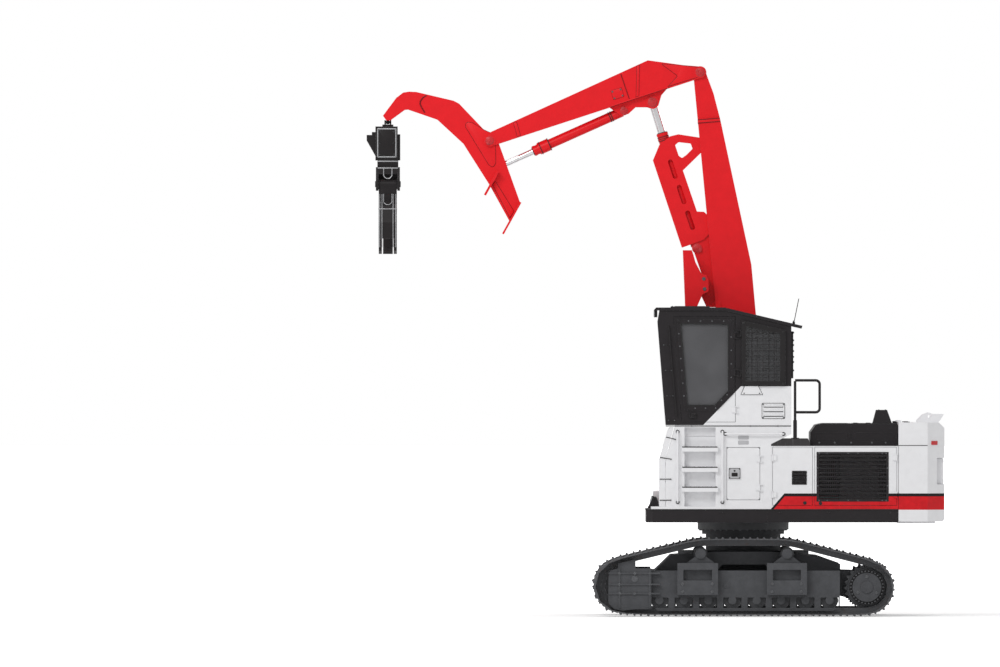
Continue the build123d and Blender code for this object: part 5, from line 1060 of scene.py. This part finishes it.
tread = Finish("tread_plate_enamel")
along_lug = tread.along(0) + tread.along(1)
across_lug = tread.along(0) - tread.along(1)
lug_side = tread.ramp(abs((along_lug * 26.0 % 1.0) - 0.5), 0.28, 0.4)
lug = lug_side * tread.ramp(abs((across_lug * 9.0 % 1.0) - 0.5), 0.2, 0.3)
worn_lug = lug * tread.ramp(tread.noise(5.0), 0.4, 0.7)
tread.set(Base_Color=tread.mix(worn_lug * 0.5, grain(tread, linear("2b2829")), linear("77777a")),
          Roughness=0.5 - worn_lug * 0.15, Metallic=worn_lug * 0.5)
tread.bump(lug, 0.002, 0.8)
dress("walkway_cover", tread)

engine_paint = painted("engine_enamel", "6d6f70", 0.5, 0.12, 0.5)
dress("engine_block", engine_paint)


# ---------------------------------------------------------------- tanks
# The fuel and hydraulic tanks on the far side are white boxes. Each has a turned filler neck with six
# screws and its cap, the walls are strapped, and a tube gauge stands on the outer wall between two unions.

TANK_FACE, TANK_MIDDLE = 1435, 940
NECK_HEIGHT, NECK_SCREWS = 0.020, 6
GAUGE_X = -43
tank_fittings = bmesh.new()
for x, tank in ((-40, "fuel_tank"), (700, "hydraulic_tank")):
    neck = at(x, TANK_MIDDLE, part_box(tank)[1].z * 1000)
    add_disc(tank_fittings, neck, UP, 0.085, NECK_HEIGHT, 0.004)
    add_disc(tank_fittings, neck + Vector((0, 0, NECK_HEIGHT)), UP, 0.065, 0.035, 0.008, 12)
    for step in range(NECK_SCREWS):
        turn = math.tau * step / NECK_SCREWS
        spot = neck + Vector((0.074 * math.cos(turn), 0.074 * math.sin(turn), NECK_HEIGHT))
        add_bolt(tank_fittings, spot, UP, 0.010)
for x in (-380, 290):
    add_plate(tank_fittings, side_points(rectangle(x - 25, x + 25, 1660, 2530), TANK_FACE), FAR, 0.006,
              0.002)
for z in (2200, 1800):
    add_disc(tank_fittings, at(GAUGE_X, TANK_FACE, z), FAR, 0.022, 0.018, 0.003, 20)
add_bar(tank_fittings, [at(GAUGE_X, TANK_FACE + 14, 1810), at(GAUGE_X, TANK_FACE + 14, 2190)], 0.009, 12)
finished("tank_fittings", tank_fittings, black_steel, "upper")


# ---------------------------------------------------------------- tool box lids
# The stepped tool box on the deck's nose has a folded lid on each step, held shut by rubber-faced hasps,
# and a framed drawer under the upper one.

box_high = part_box("tool_box")[1] * 1000
lids = bmesh.new()
hasps = bmesh.new()
for front, rear, top in ((-1064, -536, box_high.z), (-1364, -1096, 1900)):
    add_plate(lids, level_points(rectangle(front, rear, 470, box_high.y - 16), top), UP, 0.012, 0.004,
              0.02)
for x, z in ((-960, 2127), (-640, 2127), (-1230, 1847)):
    add_plate(hasps, side_points(rectangle(x - 28, x + 28, z - 41, z + 41), box_high.y), FAR, 0.014,
              0.003, 0.008)
add_frame(hasps, side_points(rectangle(-1050, -550, 1700, 2040), box_high.y), FAR, 0.006, 0.003, 0.001,
          0.02)
finished("tool_box_lids", lids, body_white, "upper")
finished("tool_box_hasps", hasps, black_steel, "upper")


# ---------------------------------------------------------------- hood
# A pressed steel hood in dark enamel, hinged at its rear edge. It has a seam across its middle, two
# pressed panels and a latch on each side, two more panels on top with rubber stops between them, and a
# row of screws along its foot.

hood_paint = painted("hood_enamel", "272426", 0.4, 0.05, 0.25)
for node in ("hood", "air_intake"):
    dress(node, hood_paint)
HOOD_TOP = 2945
SEAM_X = 1644
hood_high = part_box("hood")[1]
pressings = bmesh.new()
hood_screws = bmesh.new()
for side in (-1, 1):
    way, face = (0, side, 0), side * hood_high.y * 1000
    for left, right in ((1094, 1587), (1700, 2301)):
        add_frame(pressings, side_points(rectangle(left, right, 2690, 2813), face), way, 0.014, 0.005,
                  0.002, 0.025)
    for outline, height, chamfer in ((rectangle(SEAM_X - 8, SEAM_X + 8, 2700, 2925), 0.005, 0.002),
                                     (rectangle(1030, 2345, 2618, 2632), 0.008, 0.003),
                                     (rectangle(1606, 1634, 2735, 2800), 0.018, 0.005)):
        add_plate(pressings, side_points(outline, face), way, height, chamfer)
    for x in (1155, 1392, SEAM_X, 1962, 2171):
        add_bolt(hood_screws, at(x, face, 2656), way, 0.016)
for front, rear in ((1200, 1620), (1670, 1930)):
    add_frame(pressings, level_points(rectangle(front, rear, -1050, 1050), HOOD_TOP), UP, 0.020, 0.005,
              0.002, 0.04)
add_plate(pressings, level_points(rectangle(SEAM_X - 7, SEAM_X + 7, -1140, 1140), HOOD_TOP), UP, 0.004,
          0.0015)
for x in (1729, 1924):
    for y in (-560, 560):
        stop = rectangle(x - 34, x + 34, y - 26, y + 26)
        add_plate(pressings, level_points(stop, HOOD_TOP), UP, 0.012, 0.004, 0.012)
finished("hood_pressings", pressings, hood_paint, "hood")
finished("hood_screws", hood_screws, bolt_steel, "hood")


# ---------------------------------------------------------------- air intake
# The engine breathes through a moulded cap on the hood. A rubber collar seals its foot and four screws
# hold its lid.

intake_low, intake_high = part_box("air_intake")
intake_middle = (intake_low + intake_high) / 2
COLLAR_OUT = 0.008
collar = bmesh.new()
foot_outline = rectangle(intake_low.x - COLLAR_OUT, intake_high.x + COLLAR_OUT,
                         intake_low.y - COLLAR_OUT, intake_high.y + COLLAR_OUT)
add_frame(collar, [Vector((x, y, intake_low.z)) for x, y in foot_outline], UP, 0.012, 0.012, 0.003,
          0.020)
for across in (-0.05, 0.05):
    for y in (-0.39, -0.21):
        add_bolt(collar, (intake_middle.x + across, y, intake_high.z), UP, 0.012)
INTAKE_BODY = next(name for name, nodes in frame["record"]["behaviour"]["bodies"].items()
                   if "air_intake" in nodes)
finished("intake_collar", collar, rubber, INTAKE_BODY)


# ---------------------------------------------------------------- counterweight
# One iron casting, filled and painted, hung on the rear of the deck. A closing panel sits in the recess
# across its back, a rubber strip lies in the parting line of its sides, turned plugs close the lifting
# holes, and weld beads hold the lifting brackets.

weight_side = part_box("counterweight")[1].y * 1000
PANEL_BACK, PANEL_LOW = 3053, 2024
PANEL_HALF = [(2950, -1180), (3030, -1180), (PANEL_BACK, -1160)]
BRACKET_Y = 800
seams = bmesh.new()
for side in (-1, 1):
    add_plate(seams, side_points(rectangle(2366, 2808, 2609, 2619), side * weight_side), (0, side, 0),
              0.003, 0.001)
finished("counterweight_seams", seams, rubber, "upper")
back_panel = bmesh.new()
panel = PANEL_HALF + [(x, -y) for x, y in reversed(PANEL_HALF)]
add_plate(back_panel, level_points(panel, PANEL_LOW), UP, 0.392, 0.006)
finished("counterweight_panel", back_panel, body_white, "upper")
plugs = bmesh.new()
for y in (-1080, -540, 0, 540, 1080):
    for z in (2070, 2370):
        add_disc(plugs, at(PANEL_BACK, y, z), REARWARD, 0.024, 0.006, 0.002, 20)
for x, y in ((2500, -900), (2500, 900), (2900, -500), (2900, 500)):
    add_disc(plugs, at(x, y, 2965), UP, 0.045, 0.012, 0.004, 24)
finished("counterweight_screws", plugs, bolt_steel, "upper")
bracket_beads = bmesh.new()
for side in (-1, 1):
    for y in (side * BRACKET_Y - 17, side * BRACKET_Y + 17):
        add_bar(bracket_beads, [at(2672, y, 2966), at(2978, y, 2966)], 0.006, 8)
finished("bracket_weld_beads", bracket_beads, body_white, "upper")


# ---------------------------------------------------------------- side reflectors
# A red prismatic reflector is riveted to each slanting rear corner of the counterweight.

CELLS = 90.0                # prisms to the metre
REFLECTOR_LOW, REFLECTOR_HIGH = 2622, 2682
reflex = Finish("red_reflector")
cell = (abs((reflex.along(0) * CELLS % 1.0) - 0.5)
        + abs((reflex.along(2) * CELLS % 1.0) - 0.5))
reflex.set(Base_Color=reflex.mix(reflex.ramp(cell, 0.3, 0.8), linear("d11720"), linear("b5121a")),
           Roughness=0.15, Coat_Weight=0.5)
reflex.bump(cell, 0.0008, 0.6)
reflectors = bmesh.new()
for side in (-1, 1):
    out = Vector((1, side, 0)).normalized()
    corners = [at(x, side * y, z) - out * 0.001 for x, y, z in
               ((2868, 1394, REFLECTOR_LOW), (2960, 1302, REFLECTOR_LOW),
                (2960, 1302, REFLECTOR_HIGH), (2868, 1394, REFLECTOR_HIGH))]
    add_plate(reflectors, corners, out, 0.009, 0.002, 0.006)
finished("side_reflectors", reflectors, reflex, "upper")


# ---------------------------------------------------------------- boom
# A box of welded plate in red enamel, thinner above a doubler band near its tip. Weld beads in a darker red
# run along the band and along the hidden edges of the stick cylinder's brackets: painted shade along these
# seams and edges.

arm_red = painted("boom_enamel", "e41b23", 0.34, 0.03, 0.25)
for node in ("boom", "stick_cylinder_guard", "hoist_guard", "stick", "heel"):
    dress(node, arm_red)
# darker red for the weld beads of boom, stick and heel: painted shade along the seams and plate edges
seam_shade_red = painted("weld_bead_shade_red", "7e1015", 0.5, 0.2, 0.1)

# the pins' middles (x, z), each named for what turns on it
STICK_CYLINDER_FOOT = (-705, 5635)
STICK_CYLINDER_EYE = (-1390, 7875)
HOIST_FOOT = (-760, 1960)
HOIST_EYE = (-560, 4400)
HEEL_CYLINDER_FOOT = (-1830, 7745)
HEEL_CYLINDER_EYE = (-3765, 6880)
ARM_SIDE = 200              # half the width of the boom and of the stick
BEAD = 0.008

bands = bmesh.new()
beads = bmesh.new()
screws = bmesh.new()
guard_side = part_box("hoist_guard")[1].y * 1000
for side in (-1, 1):
    way, face = (0, side, 0), side * ARM_SIDE
    add_plate(bands, side_points([(-695, 7562), (-352, 7590), (-360, 7626), (-697, 7600)], face), way,
              0.006, 0.002)
    bead_y = face + side * 3
    for left, right in (((-697, 7606), (-362, 7632)), ((-694, 7556), (-350, 7584))):
        add_bar(beads, side_points([left, right], bead_y), BEAD, 8)
    for foot, top in (((-230, 3000), (-418, 4690)), ((140, 2450), (236, 3880))):
        add_bar(beads, side_points([foot, top], face), BEAD, 8)
    for x, z in ((-605, 5166), (-595, 5010)):
        add_bolt(screws, at(x, side * guard_side, z), way, 0.034)
finished("boom_bands", bands, arm_red, "boom")
finished("boom_weld_beads", beads, seam_shade_red, "boom")
finished("guard_screws", screws, bolt_steel, "boom")


# ---------------------------------------------------------------- boom pin heads
# Each pin's end shows as a boss ring, the turned head in red paint rubbed bright at its rim, and a keeper
# plate with one screw that stops the pin from turning.

def add_pin_head(mesh, place, y, radius, turn):
    """The end of a pin at (x, z) on the face at y, its keeper turned to an angle."""
    x, z = place
    side = math.copysign(1, y)
    way = (0, side, 0)
    add_disc(mesh, at(x, y, z), way, (radius + 16) / 1000, 0.006, 0.002, 40)
    add_disc(mesh, at(x, y + side * 6, z), way, radius / 1000, 0.010, 0.004, 40)
    add_disc(mesh, at(x, y + side * 16, z), way, radius * 0.32 / 1000, 0.004, 0.002, 24)
    along = Vector((math.cos(turn), 0, math.sin(turn)))
    across = Vector((-math.sin(turn), 0, math.cos(turn)))
    middle = at(x, y + side * 16, z) + along * radius * 0.0009
    keeper = [middle - along * 0.020 - across * 0.024, middle + along * 0.026 - across * 0.024,
              middle + along * 0.026 + across * 0.024, middle - along * 0.020 + across * 0.024]
    add_plate(mesh, keeper, way, 0.006, 0.0015)
    add_bolt(mesh, middle + along * 0.006 + Vector((0, side * 0.006, 0)), way, 0.018)


pin_steel = Finish("pin_heads")
pin_colour, pin_worn = scuffed(pin_steel, grain(pin_steel, linear("c41a22"), 0.08, 20.0),
                               linear("9c9c9e"), 0.006, 0.7)
pin_steel.set(Base_Color=pin_colour, Roughness=0.4, Metallic=pin_worn * 0.8)
pin_steel.bump(pin_steel.noise(120.0, 3.0), 0.0004, 0.3)

FORK_SIDE = 130             # the outer faces of the cylinders' forks
pins = bmesh.new()
for side in (-1, 1):
    add_pin_head(pins, STICK_CYLINDER_FOOT, side * FORK_SIDE, 55, -0.6)
    add_pin_head(pins, HOIST_EYE, side * 392, 50, 0.9)
finished("boom_pin_heads", pins, pin_steel, "boom")


# ---------------------------------------------------------------- hydraulic cylinders
# Barrels in the boom's red and hard-chromed rods. Each gland is a screwed ring with a black wiper, and
# rubber bands show where the head's seals sit. A steel pipe feeds each hoist cylinder's head.

for node in ("hoist_barrels", "stick_barrel", "heel_barrel"):
    dress(node, arm_red)
chrome = Finish("rod_chrome")
film = chrome.ramp(chrome.noise(14.0, 5.0, 0.6), 0.45, 0.75)
chrome.set(Base_Color=chrome.mix(film * 0.4, linear("f0f0f2"), linear("c9c8c6")),
           Roughness=film * 0.10 + 0.16, Metallic=0.85)
for node in ("hoist_rods", "stick_rod", "heel_rod"):
    dress(node, chrome)


def add_gland(seals, head, base, end, y, barrel, rod, length, bands=(150, 176, 202)):
    """Wiper, seal bands and screws at the rod end of a barrel that runs from base towards end.
    `barrel` and `rod` are radii, and the bands stand back from the barrel's face."""
    foot, tip = at(base[0], y, base[1]), at(end[0], y, end[1])
    way = (tip - foot).normalized()
    face = foot + way * length / 1000
    add_disc(seals, face, way, (rod + 16) / 1000, 0.012, 0.004, 32)
    for back in bands:
        add_disc(seals, foot + way * (length - back) / 1000, way, (barrel + 7) / 1000, 0.010, 0.003, 40)
    turn = turn_to(way)
    for step in range(8):
        angle = math.tau * (step + 0.5) / 8
        arm = turn @ Vector((math.cos(angle), math.sin(angle), 0)) * (barrel - 9) / 1000
        add_disc(head, face + arm, way, 0.007, 0.009, 0.0015, 12)


def add_feed_pipe(mesh, base, end, y, barrel, length, sideways):
    """A steel pipe beside a barrel, from its base port to its head, in two clamps."""
    foot, tip = at(base[0], y, base[1]), at(end[0], y, end[1])
    way = (tip - foot).normalized()
    out = Vector((0, sideways, 0))
    start, finish = foot + way * 0.20, foot + way * (length - 240) / 1000
    reach = (barrel + 18) / 1000
    add_bar(mesh, [start + out * barrel * 0.0009, start + out * reach, finish + out * reach,
                   finish + out * barrel * 0.0009], 0.010, 12)
    for share in (0.25, 0.75):
        clamp = start.lerp(finish, share) + out * barrel * 0.00094
        add_disc(mesh, clamp - way * 0.018, way, 0.036, 0.036, 0.004, 16)


HOIST_LENGTH, HOIST_BORE, HOIST_SIDE = 1450, 75, 312
seals, heads = bmesh.new(), bmesh.new()
for side in (-1, 1):
    add_gland(seals, heads, HOIST_FOOT, HOIST_EYE, side * HOIST_SIDE, HOIST_BORE, 48, HOIST_LENGTH)
    add_feed_pipe(heads, HOIST_FOOT, HOIST_EYE, side * HOIST_SIDE, HOIST_BORE, HOIST_LENGTH, -side)
finished("hoist_cylinder_seals", seals, rubber, "hoist_barrels")
finished("hoist_cylinder_pipes", heads, arm_red, "hoist_barrels")

seals, heads = bmesh.new(), bmesh.new()
add_gland(seals, heads, STICK_CYLINDER_FOOT, STICK_CYLINDER_EYE, 0, 85, 60, 1850, (64, 92, 118))
finished("stick_cylinder_seals", seals, rubber, "stick_barrel")
finished("stick_cylinder_head_screws", heads, bolt_steel, "stick_barrel")

seals, heads = bmesh.new(), bmesh.new()
add_gland(seals, heads, HEEL_CYLINDER_FOOT, HEEL_CYLINDER_EYE, 0, 75, 46, 1520)
foot, eye = side_points([HEEL_CYLINDER_FOOT, HEEL_CYLINDER_EYE], 0)
heel_way = (eye - foot).normalized()
for along, radius in ((0.200, 0.083), (0.230, 0.083), (1.250, 0.102), (1.395, 0.102)):
    add_disc(seals, foot + heel_way * along, heel_way, radius, 0.012, 0.004, 40)
finished("heel_cylinder_seals", seals, rubber, "heel_barrel")
finished("heel_cylinder_head_screws", heads, bolt_steel, "heel_barrel")


# ---------------------------------------------------------------- stick
# A tapered box like the boom. Doubler plates strengthen it at the boom's pin, bands cover its welded
# joints, a screwed cover closes its inspection hole and a flange runs along its underside.

def add_bead_round(mesh, outline, y, radius=BEAD):
    """A weld bead round the edge of a flat plate."""
    corners = side_points(outline, y)
    add_bar(mesh, corners + corners[:1], radius, 8)


PIN_DOUBLER = [(-1246, 8462), (-1018, 8292), (-1012, 8268), (-1138, 8128), (-700, 8262), (-655, 8405),
               (-925, 8438)]
JOINT_BANDS = ([(-1629, 8440), (-1592, 8446), (-1604, 7972), (-1643, 7960)],
               [(-3524, 7560), (-3479, 7572), (-3420, 7366), (-3466, 7352)])
FLANGE = [(-2040, 7822), (-1140, 8118), (-1132, 8104), (-2036, 7806)]
COVER = [(-2030, 8050), (-1872, 8097), (-1832, 7965), (-1986, 7918)]
COVER_SCREWS = ((-2008, 8036), (-1884, 8072), (-1853, 7980), (-1974, 7938))
COVER_HEIGHT = 8
FINE_BEAD = 0.006
plates = bmesh.new()
stick_screws = bmesh.new()
beads = bmesh.new()
for side in (-1, 1):
    way, face = (0, side, 0), side * ARM_SIDE
    add_plate(plates, side_points(PIN_DOUBLER, face), way, 0.010, 0.003)
    for outline in JOINT_BANDS:
        add_plate(plates, side_points(outline, face), way, 0.006, 0.002)
        add_bead_round(beads, outline, face, FINE_BEAD)
    add_bar(beads, side_points([(-1878, 8308), (-1750, 7930)], face), BEAD, 8)
    add_bead_round(beads, PIN_DOUBLER, face)
    add_plate(plates, side_points(FLANGE, face), way, 0.012, 0.003)
    add_bar(beads, side_points([(-2038, 7804), (-1132, 8102)], face), FINE_BEAD, 8)
    add_plate(plates, side_points(COVER, face), way, COVER_HEIGHT / 1000, 0.002, 0.012)
    add_bead_round(beads, COVER, face, FINE_BEAD)
    for x, z in COVER_SCREWS:
        add_bolt(stick_screws, at(x, face + side * COVER_HEIGHT, z), way, 0.016)
finished("stick_doublers", plates, arm_red, "stick")
finished("stick_weld_beads", beads, seam_shade_red, "stick")
finished("stick_cover_screws", stick_screws, bolt_steel, "stick")

STICK_PIN, HEEL_PIN = (-660, 8335), (-3890, 7285)
pins = bmesh.new()
for side in (-1, 1):
    add_pin_head(pins, STICK_PIN, side * (ARM_SIDE + 12), 55, 2.6)
    add_pin_head(pins, HEEL_PIN, side * (ARM_SIDE + 12), 50, -2.2)
    add_pin_head(pins, STICK_CYLINDER_EYE, side * FORK_SIDE, 60, 2.0)
    add_pin_head(pins, HEEL_CYLINDER_FOOT, side * FORK_SIDE, 42, 2.0)
finished("stick_pin_heads", pins, pin_steel, "stick")


# ---------------------------------------------------------------- live heel
# Two side plates closed along their backs, with a cast nose that carries the grapple. A teardrop doubler
# is welded round the stick's pin and a stiffener along the lower arm, which ends in the log rack.

HEEL_SIDE = 160
TEARDROP = [(-4254, 7548), (-4222, 7568), (-4160, 7560), (-3975, 7448), (-3885, 7408), (-3815, 7240),
            (-3803, 7122), (-3801, 6950), (-3822, 6902), (-3857, 6887), (-3905, 6920), (-4258, 7497)]
STIFFENER = [(-3806, 6660), (-3842, 6610), (-3580, 6110), (-3520, 6200)]
NOSE_SEAM = [(-4860, 7984), (-4918, 7945), (-4955, 7892), (-4960, 7850), (-4935, 7795), (-4888, 7718)]
plates = bmesh.new()
beads = bmesh.new()
for side in (-1, 1):
    way, face = (0, side, 0), side * HEEL_SIDE
    for outline, height in ((TEARDROP, 0.010), (STIFFENER, 0.012)):
        add_plate(plates, side_points(outline, face), way, height, 0.003)
        add_bead_round(beads, outline, face)
    add_bar(beads, side_points(NOSE_SEAM, face), 0.011, 8)
finished("heel_doublers", plates, arm_red, "heel")
finished("heel_weld_beads", beads, seam_shade_red, "heel")


# ---------------------------------------------------------------- grapple head
# Black bypass grapple under a rotator. The tall head has a framed and screwed service panel on each side,
# two welded bands, and a loop of rod that guards the hoses. The frame, the bands and the loop are pale grey:
# painted highlight along their edges on the black steel.

grapple_black = painted("grapple_enamel", "232021", 0.42, 0.08, 0.6)
for node in ("grapple_link", "grapple_hanger", "grapple_head", "grapple_arm_near", "grapple_arm_far"):
    dress(node, grapple_black)
# pale grey steel for the grapple's trims and rods: painted highlight standing in for light caught along black
# edges
edge_highlight_grey = Finish("edge_highlight_grey")
highlight_colour = scuffed(edge_highlight_grey, grain(edge_highlight_grey, linear("a9aaac"), 0.2, 50.0), linear("d0d0d2"),
                      0.004, 0.8)[0]
edge_highlight_grey.set(Base_Color=highlight_colour, Roughness=0.4, Metallic=0.55)
edge_highlight_grey.bump(edge_highlight_grey.noise(150.0, 4.0), 0.0012, 0.6)

HEAD_SIDE, PANEL_HEIGHT = 165, 5
HEAD_BANDS = ((6970, 190), (6866, 287))         # height, and distance from the middle
LOOP_X, LOOP_TURNS = -5455, ((64, 0), (45, 30), (19, 46))       # its middle; half width and depth
loop_side = [(LOOP_X - half, drop) for half, drop in LOOP_TURNS]
loop_low = loop_side + [(2 * LOOP_X - x, drop) for x, drop in reversed(loop_side)]
trims = bmesh.new()
panels = bmesh.new()
for side in (-1, 1):
    way, face = (0, side, 0), side * HEAD_SIDE
    add_frame(trims, side_points(rectangle(-5619, -5322, 7028, 7477), face), way, 0.018, 0.010, 0.003,
              0.010)
    add_plate(panels, side_points(rectangle(-5596, -5345, 7052, 7454), face), way, PANEL_HEIGHT / 1000,
              0.002, 0.008)
    for z, reach in HEAD_BANDS:
        add_plate(trims, side_points(rectangle(-5612, -5298, z - 8, z + 8), side * reach), way, 0.008,
                  0.002)
    for x in (-5575, -5366):
        for z in (7075, 7253, 7430):
            add_bolt(panels, at(x, face + side * PANEL_HEIGHT, z), way, 0.018)
    loop = [(LOOP_X - 64, 6858)] + [(x, 6752 - drop) for x, drop in loop_low] + [(LOOP_X + 64, 6858)]
    add_bar(trims, side_points(loop, side * 293), 0.008, 10)
finished("grapple_head_trims", trims, edge_highlight_grey, "grapple_head")
finished("grapple_head_panels", panels, grapple_black, "grapple_head")


# ---------------------------------------------------------------- grapple arms
# Rods are welded along the outer edges of the arms' blades. The near arm also has a guard over its pivot, a
# loop of rod for the hoses and a stop bar under them. All are pale grey, painted highlight along black edges.

ARM_CENTRE_Z, ARM_REACH = 5905, 345             # the middle of the arms' curve, and its radius
ARM_DEPTHS = ((52, 184), (40, 175), (28, 163), (15, 150), (0, 138), (-15, 125), (-34, 106))


def add_edge_rods(mesh, side, xs, start=()):
    """Rods along one arm's outer edge, from the points (y, z) of `start` on, one at each x."""
    for x in xs:
        points = [at(x, side * y, z) for y, z in start]
        for angle, depth in ARM_DEPTHS:
            turn, reach = math.radians(angle), ARM_REACH + depth
            points.append(at(x, side * reach * math.cos(turn), ARM_CENTRE_Z + reach * math.sin(turn)))
        add_bar(mesh, points, 0.0065, 8)


rods = bmesh.new()
add_edge_rods(rods, -1, (-5578, -5543, -5373, -5332), ((263, 6468), (258, 6405)))
guard_line = [(-5582, 6746, 285), (-5582, 6472, 264), (-5323, 6472, 264), (-5323, 6746, 285)]
add_frame(rods, [at(x, -reach, z) for x, z, reach in guard_line], (0, -1, -0.08), 0.014, 0.006, 0.002)
half_loop = [(64, 6470, 266), (64, 6400, 262), (64, 6345, 305), (45, 6318, 328), (19, 6303, 340)]
loop = [(LOOP_X - half, z, reach) for half, z, reach in half_loop]
loop += [(LOOP_X + half, z, reach) for half, z, reach in reversed(half_loop)]
add_bar(rods, [at(x, -reach, z) for x, z, reach in loop], 0.007, 10)
add_bar(rods, [at(-5600, -400, 6238), at(-5310, -400, 6238)], 0.007, 8)
finished("near_arm_rods", rods, edge_highlight_grey, "grapple_arm_near")
rods = bmesh.new()
add_edge_rods(rods, 1, (-5510, -5400))
finished("far_arm_rods", rods, edge_highlight_grey, "grapple_arm_far")


# ---------------------------------------------------------------- operator's seat
# A suspension seat behind the glass: woven cloth over moulded foam on a steel pan. A rubber bellows
# stands between the rails and the pan, and a joystick at the front of each armrest.

seat_cloth = Finish("woven_seat_cloth")
warp = abs((seat_cloth.along(1) * 260.0 % 1.0) - 0.5)
weft = abs((seat_cloth.along(0) * 260.0 % 1.0) - 0.5) + abs((seat_cloth.along(2) * 260.0 % 1.0) - 0.5)
seat_cloth.set(Base_Color=seat_cloth.mix(seat_cloth.ramp(warp, 0.15, 0.4),
                                         grain(seat_cloth, linear("2b292c"), 0.15, 12.0),
                                         linear("3c3a3e")), Roughness=0.9)
seat_cloth.shader.inputs["Sheen Weight"].default_value = 0.3
seat_cloth.bump(warp + weft, 0.0012, 0.6)

SEAT_Y, SEAT_FLOOR = -940, 2970.3
ARMREST = 302               # from the seat's middle to the middle of an armrest


def seat_spot(x, across, up):
    """A point of the seat: forward and sideways from its middle, up from the cab's floor."""
    return at(x, SEAT_Y + across, SEAT_FLOOR + up)


def make_cushion(name, length, width, depth, round_edge, crown, stand):
    """A stuffed block with round edges, crowned faces and two stitched grooves, standing on `stand`."""
    mesh = bmesh.new()
    bmesh.ops.create_cube(mesh, size=2.0)
    bmesh.ops.subdivide_edges(mesh, edges=mesh.edges[:], cuts=23, use_grid_fill=True)
    half = Vector((length, width, depth)) / 2
    for vert in mesh.verts:
        share = vert.co.copy()
        spot = Vector([s * h for s, h in zip(share, half)])
        core = Vector([max(round_edge - h, min(h - round_edge, s)) for s, h in zip(spot, half)])
        away = spot - core
        if away.length > 0:
            spot = core + away.normalized() * round_edge
        groove = max(0.0, 1.0 - abs(abs(share.y) - 0.55) / 0.09) if abs(share.x) < 0.8 else 0.0
        spot.z += share.z * (crown * (1 - share.x ** 2) * (1 - share.y ** 2) - 0.010 * groove)
        vert.co = stand @ spot
    cushion = finished(name, mesh, seat_cloth, "upper", 180.0)
    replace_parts(cushion, "operator_seat")
    return cushion


make_cushion("seat_cushion", 0.58, 0.50, 0.12, 0.045, 0.018,
             Matrix.Translation(seat_spot(-230, 0, 440)))
recline = math.atan2(150, 740)
make_cushion("seat_back", 0.12, 0.48, 0.75, 0.045, 0.0,
             Matrix.Translation(seat_spot(105, 0, 825)) @ Matrix.Rotation(recline, 4, "Y"))

bellows = bmesh.new()
for fold in range(9):
    stand = at(-200, SEAT_Y, SEAT_FLOOR + 40 + fold * 36)
    reach = 0.160 if fold % 2 else 0.205
    corners = [stand + Vector((a * reach, b * 0.80 * reach, 0)) for a, b in
               ((-1, -1), (1, -1), (1, 1), (-1, 1))]
    add_plate(bellows, corners, UP, 0.036, 0.012, 0.05)
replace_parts(finished("seat_bellows", bellows, rubber, "upper"), "operator_seat")

rails = bmesh.new()
for across in (-150, 150):
    add_plate(rails, [seat_spot(x, across + y, 0) for x, y in ((-420, -20), (20, -20), (20, 20),
                                                               (-420, 20))], UP, 0.040, 0.006)
add_plate(rails, [seat_spot(x, y, 362) for x, y in ((-500, -235), (50, -235), (50, 235),
                                                   (-500, 235))], UP, 0.022, 0.004, 0.04)
for side in (-1, 1):
    add_bar(rails, [seat_spot(-15, side * 240, 380), seat_spot(-15, side * ARMREST, 420),
                    seat_spot(-15, side * ARMREST, 565)], 0.022, 16)
    add_bar(rails, [seat_spot(-500, side * ARMREST, 635), seat_spot(-500, side * ARMREST, 715)], 0.010, 16)
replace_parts(finished("seat_rails", rails, black_steel, "upper"), "operator_seat")

arms = bmesh.new()
for side in (-1, 1):
    low, high = side * ARMREST - 42, side * ARMREST + 42
    add_plate(arms, [seat_spot(x, y, 562) for x, y in ((-560, low), (40, low), (40, high),
                                                       (-560, high))], UP, 0.076, 0.016, 0.03)
    add_disc(arms, seat_spot(-500, side * ARMREST, 636), UP, 0.034, 0.036, 0.004, 24, 0.018)
    add_disc(arms, seat_spot(-500, side * ARMREST, 710), UP, 0.019, 0.088, 0.010, 24, 0.024)
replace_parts(finished("seat_armrests", arms, rubber, "upper"), "operator_seat")
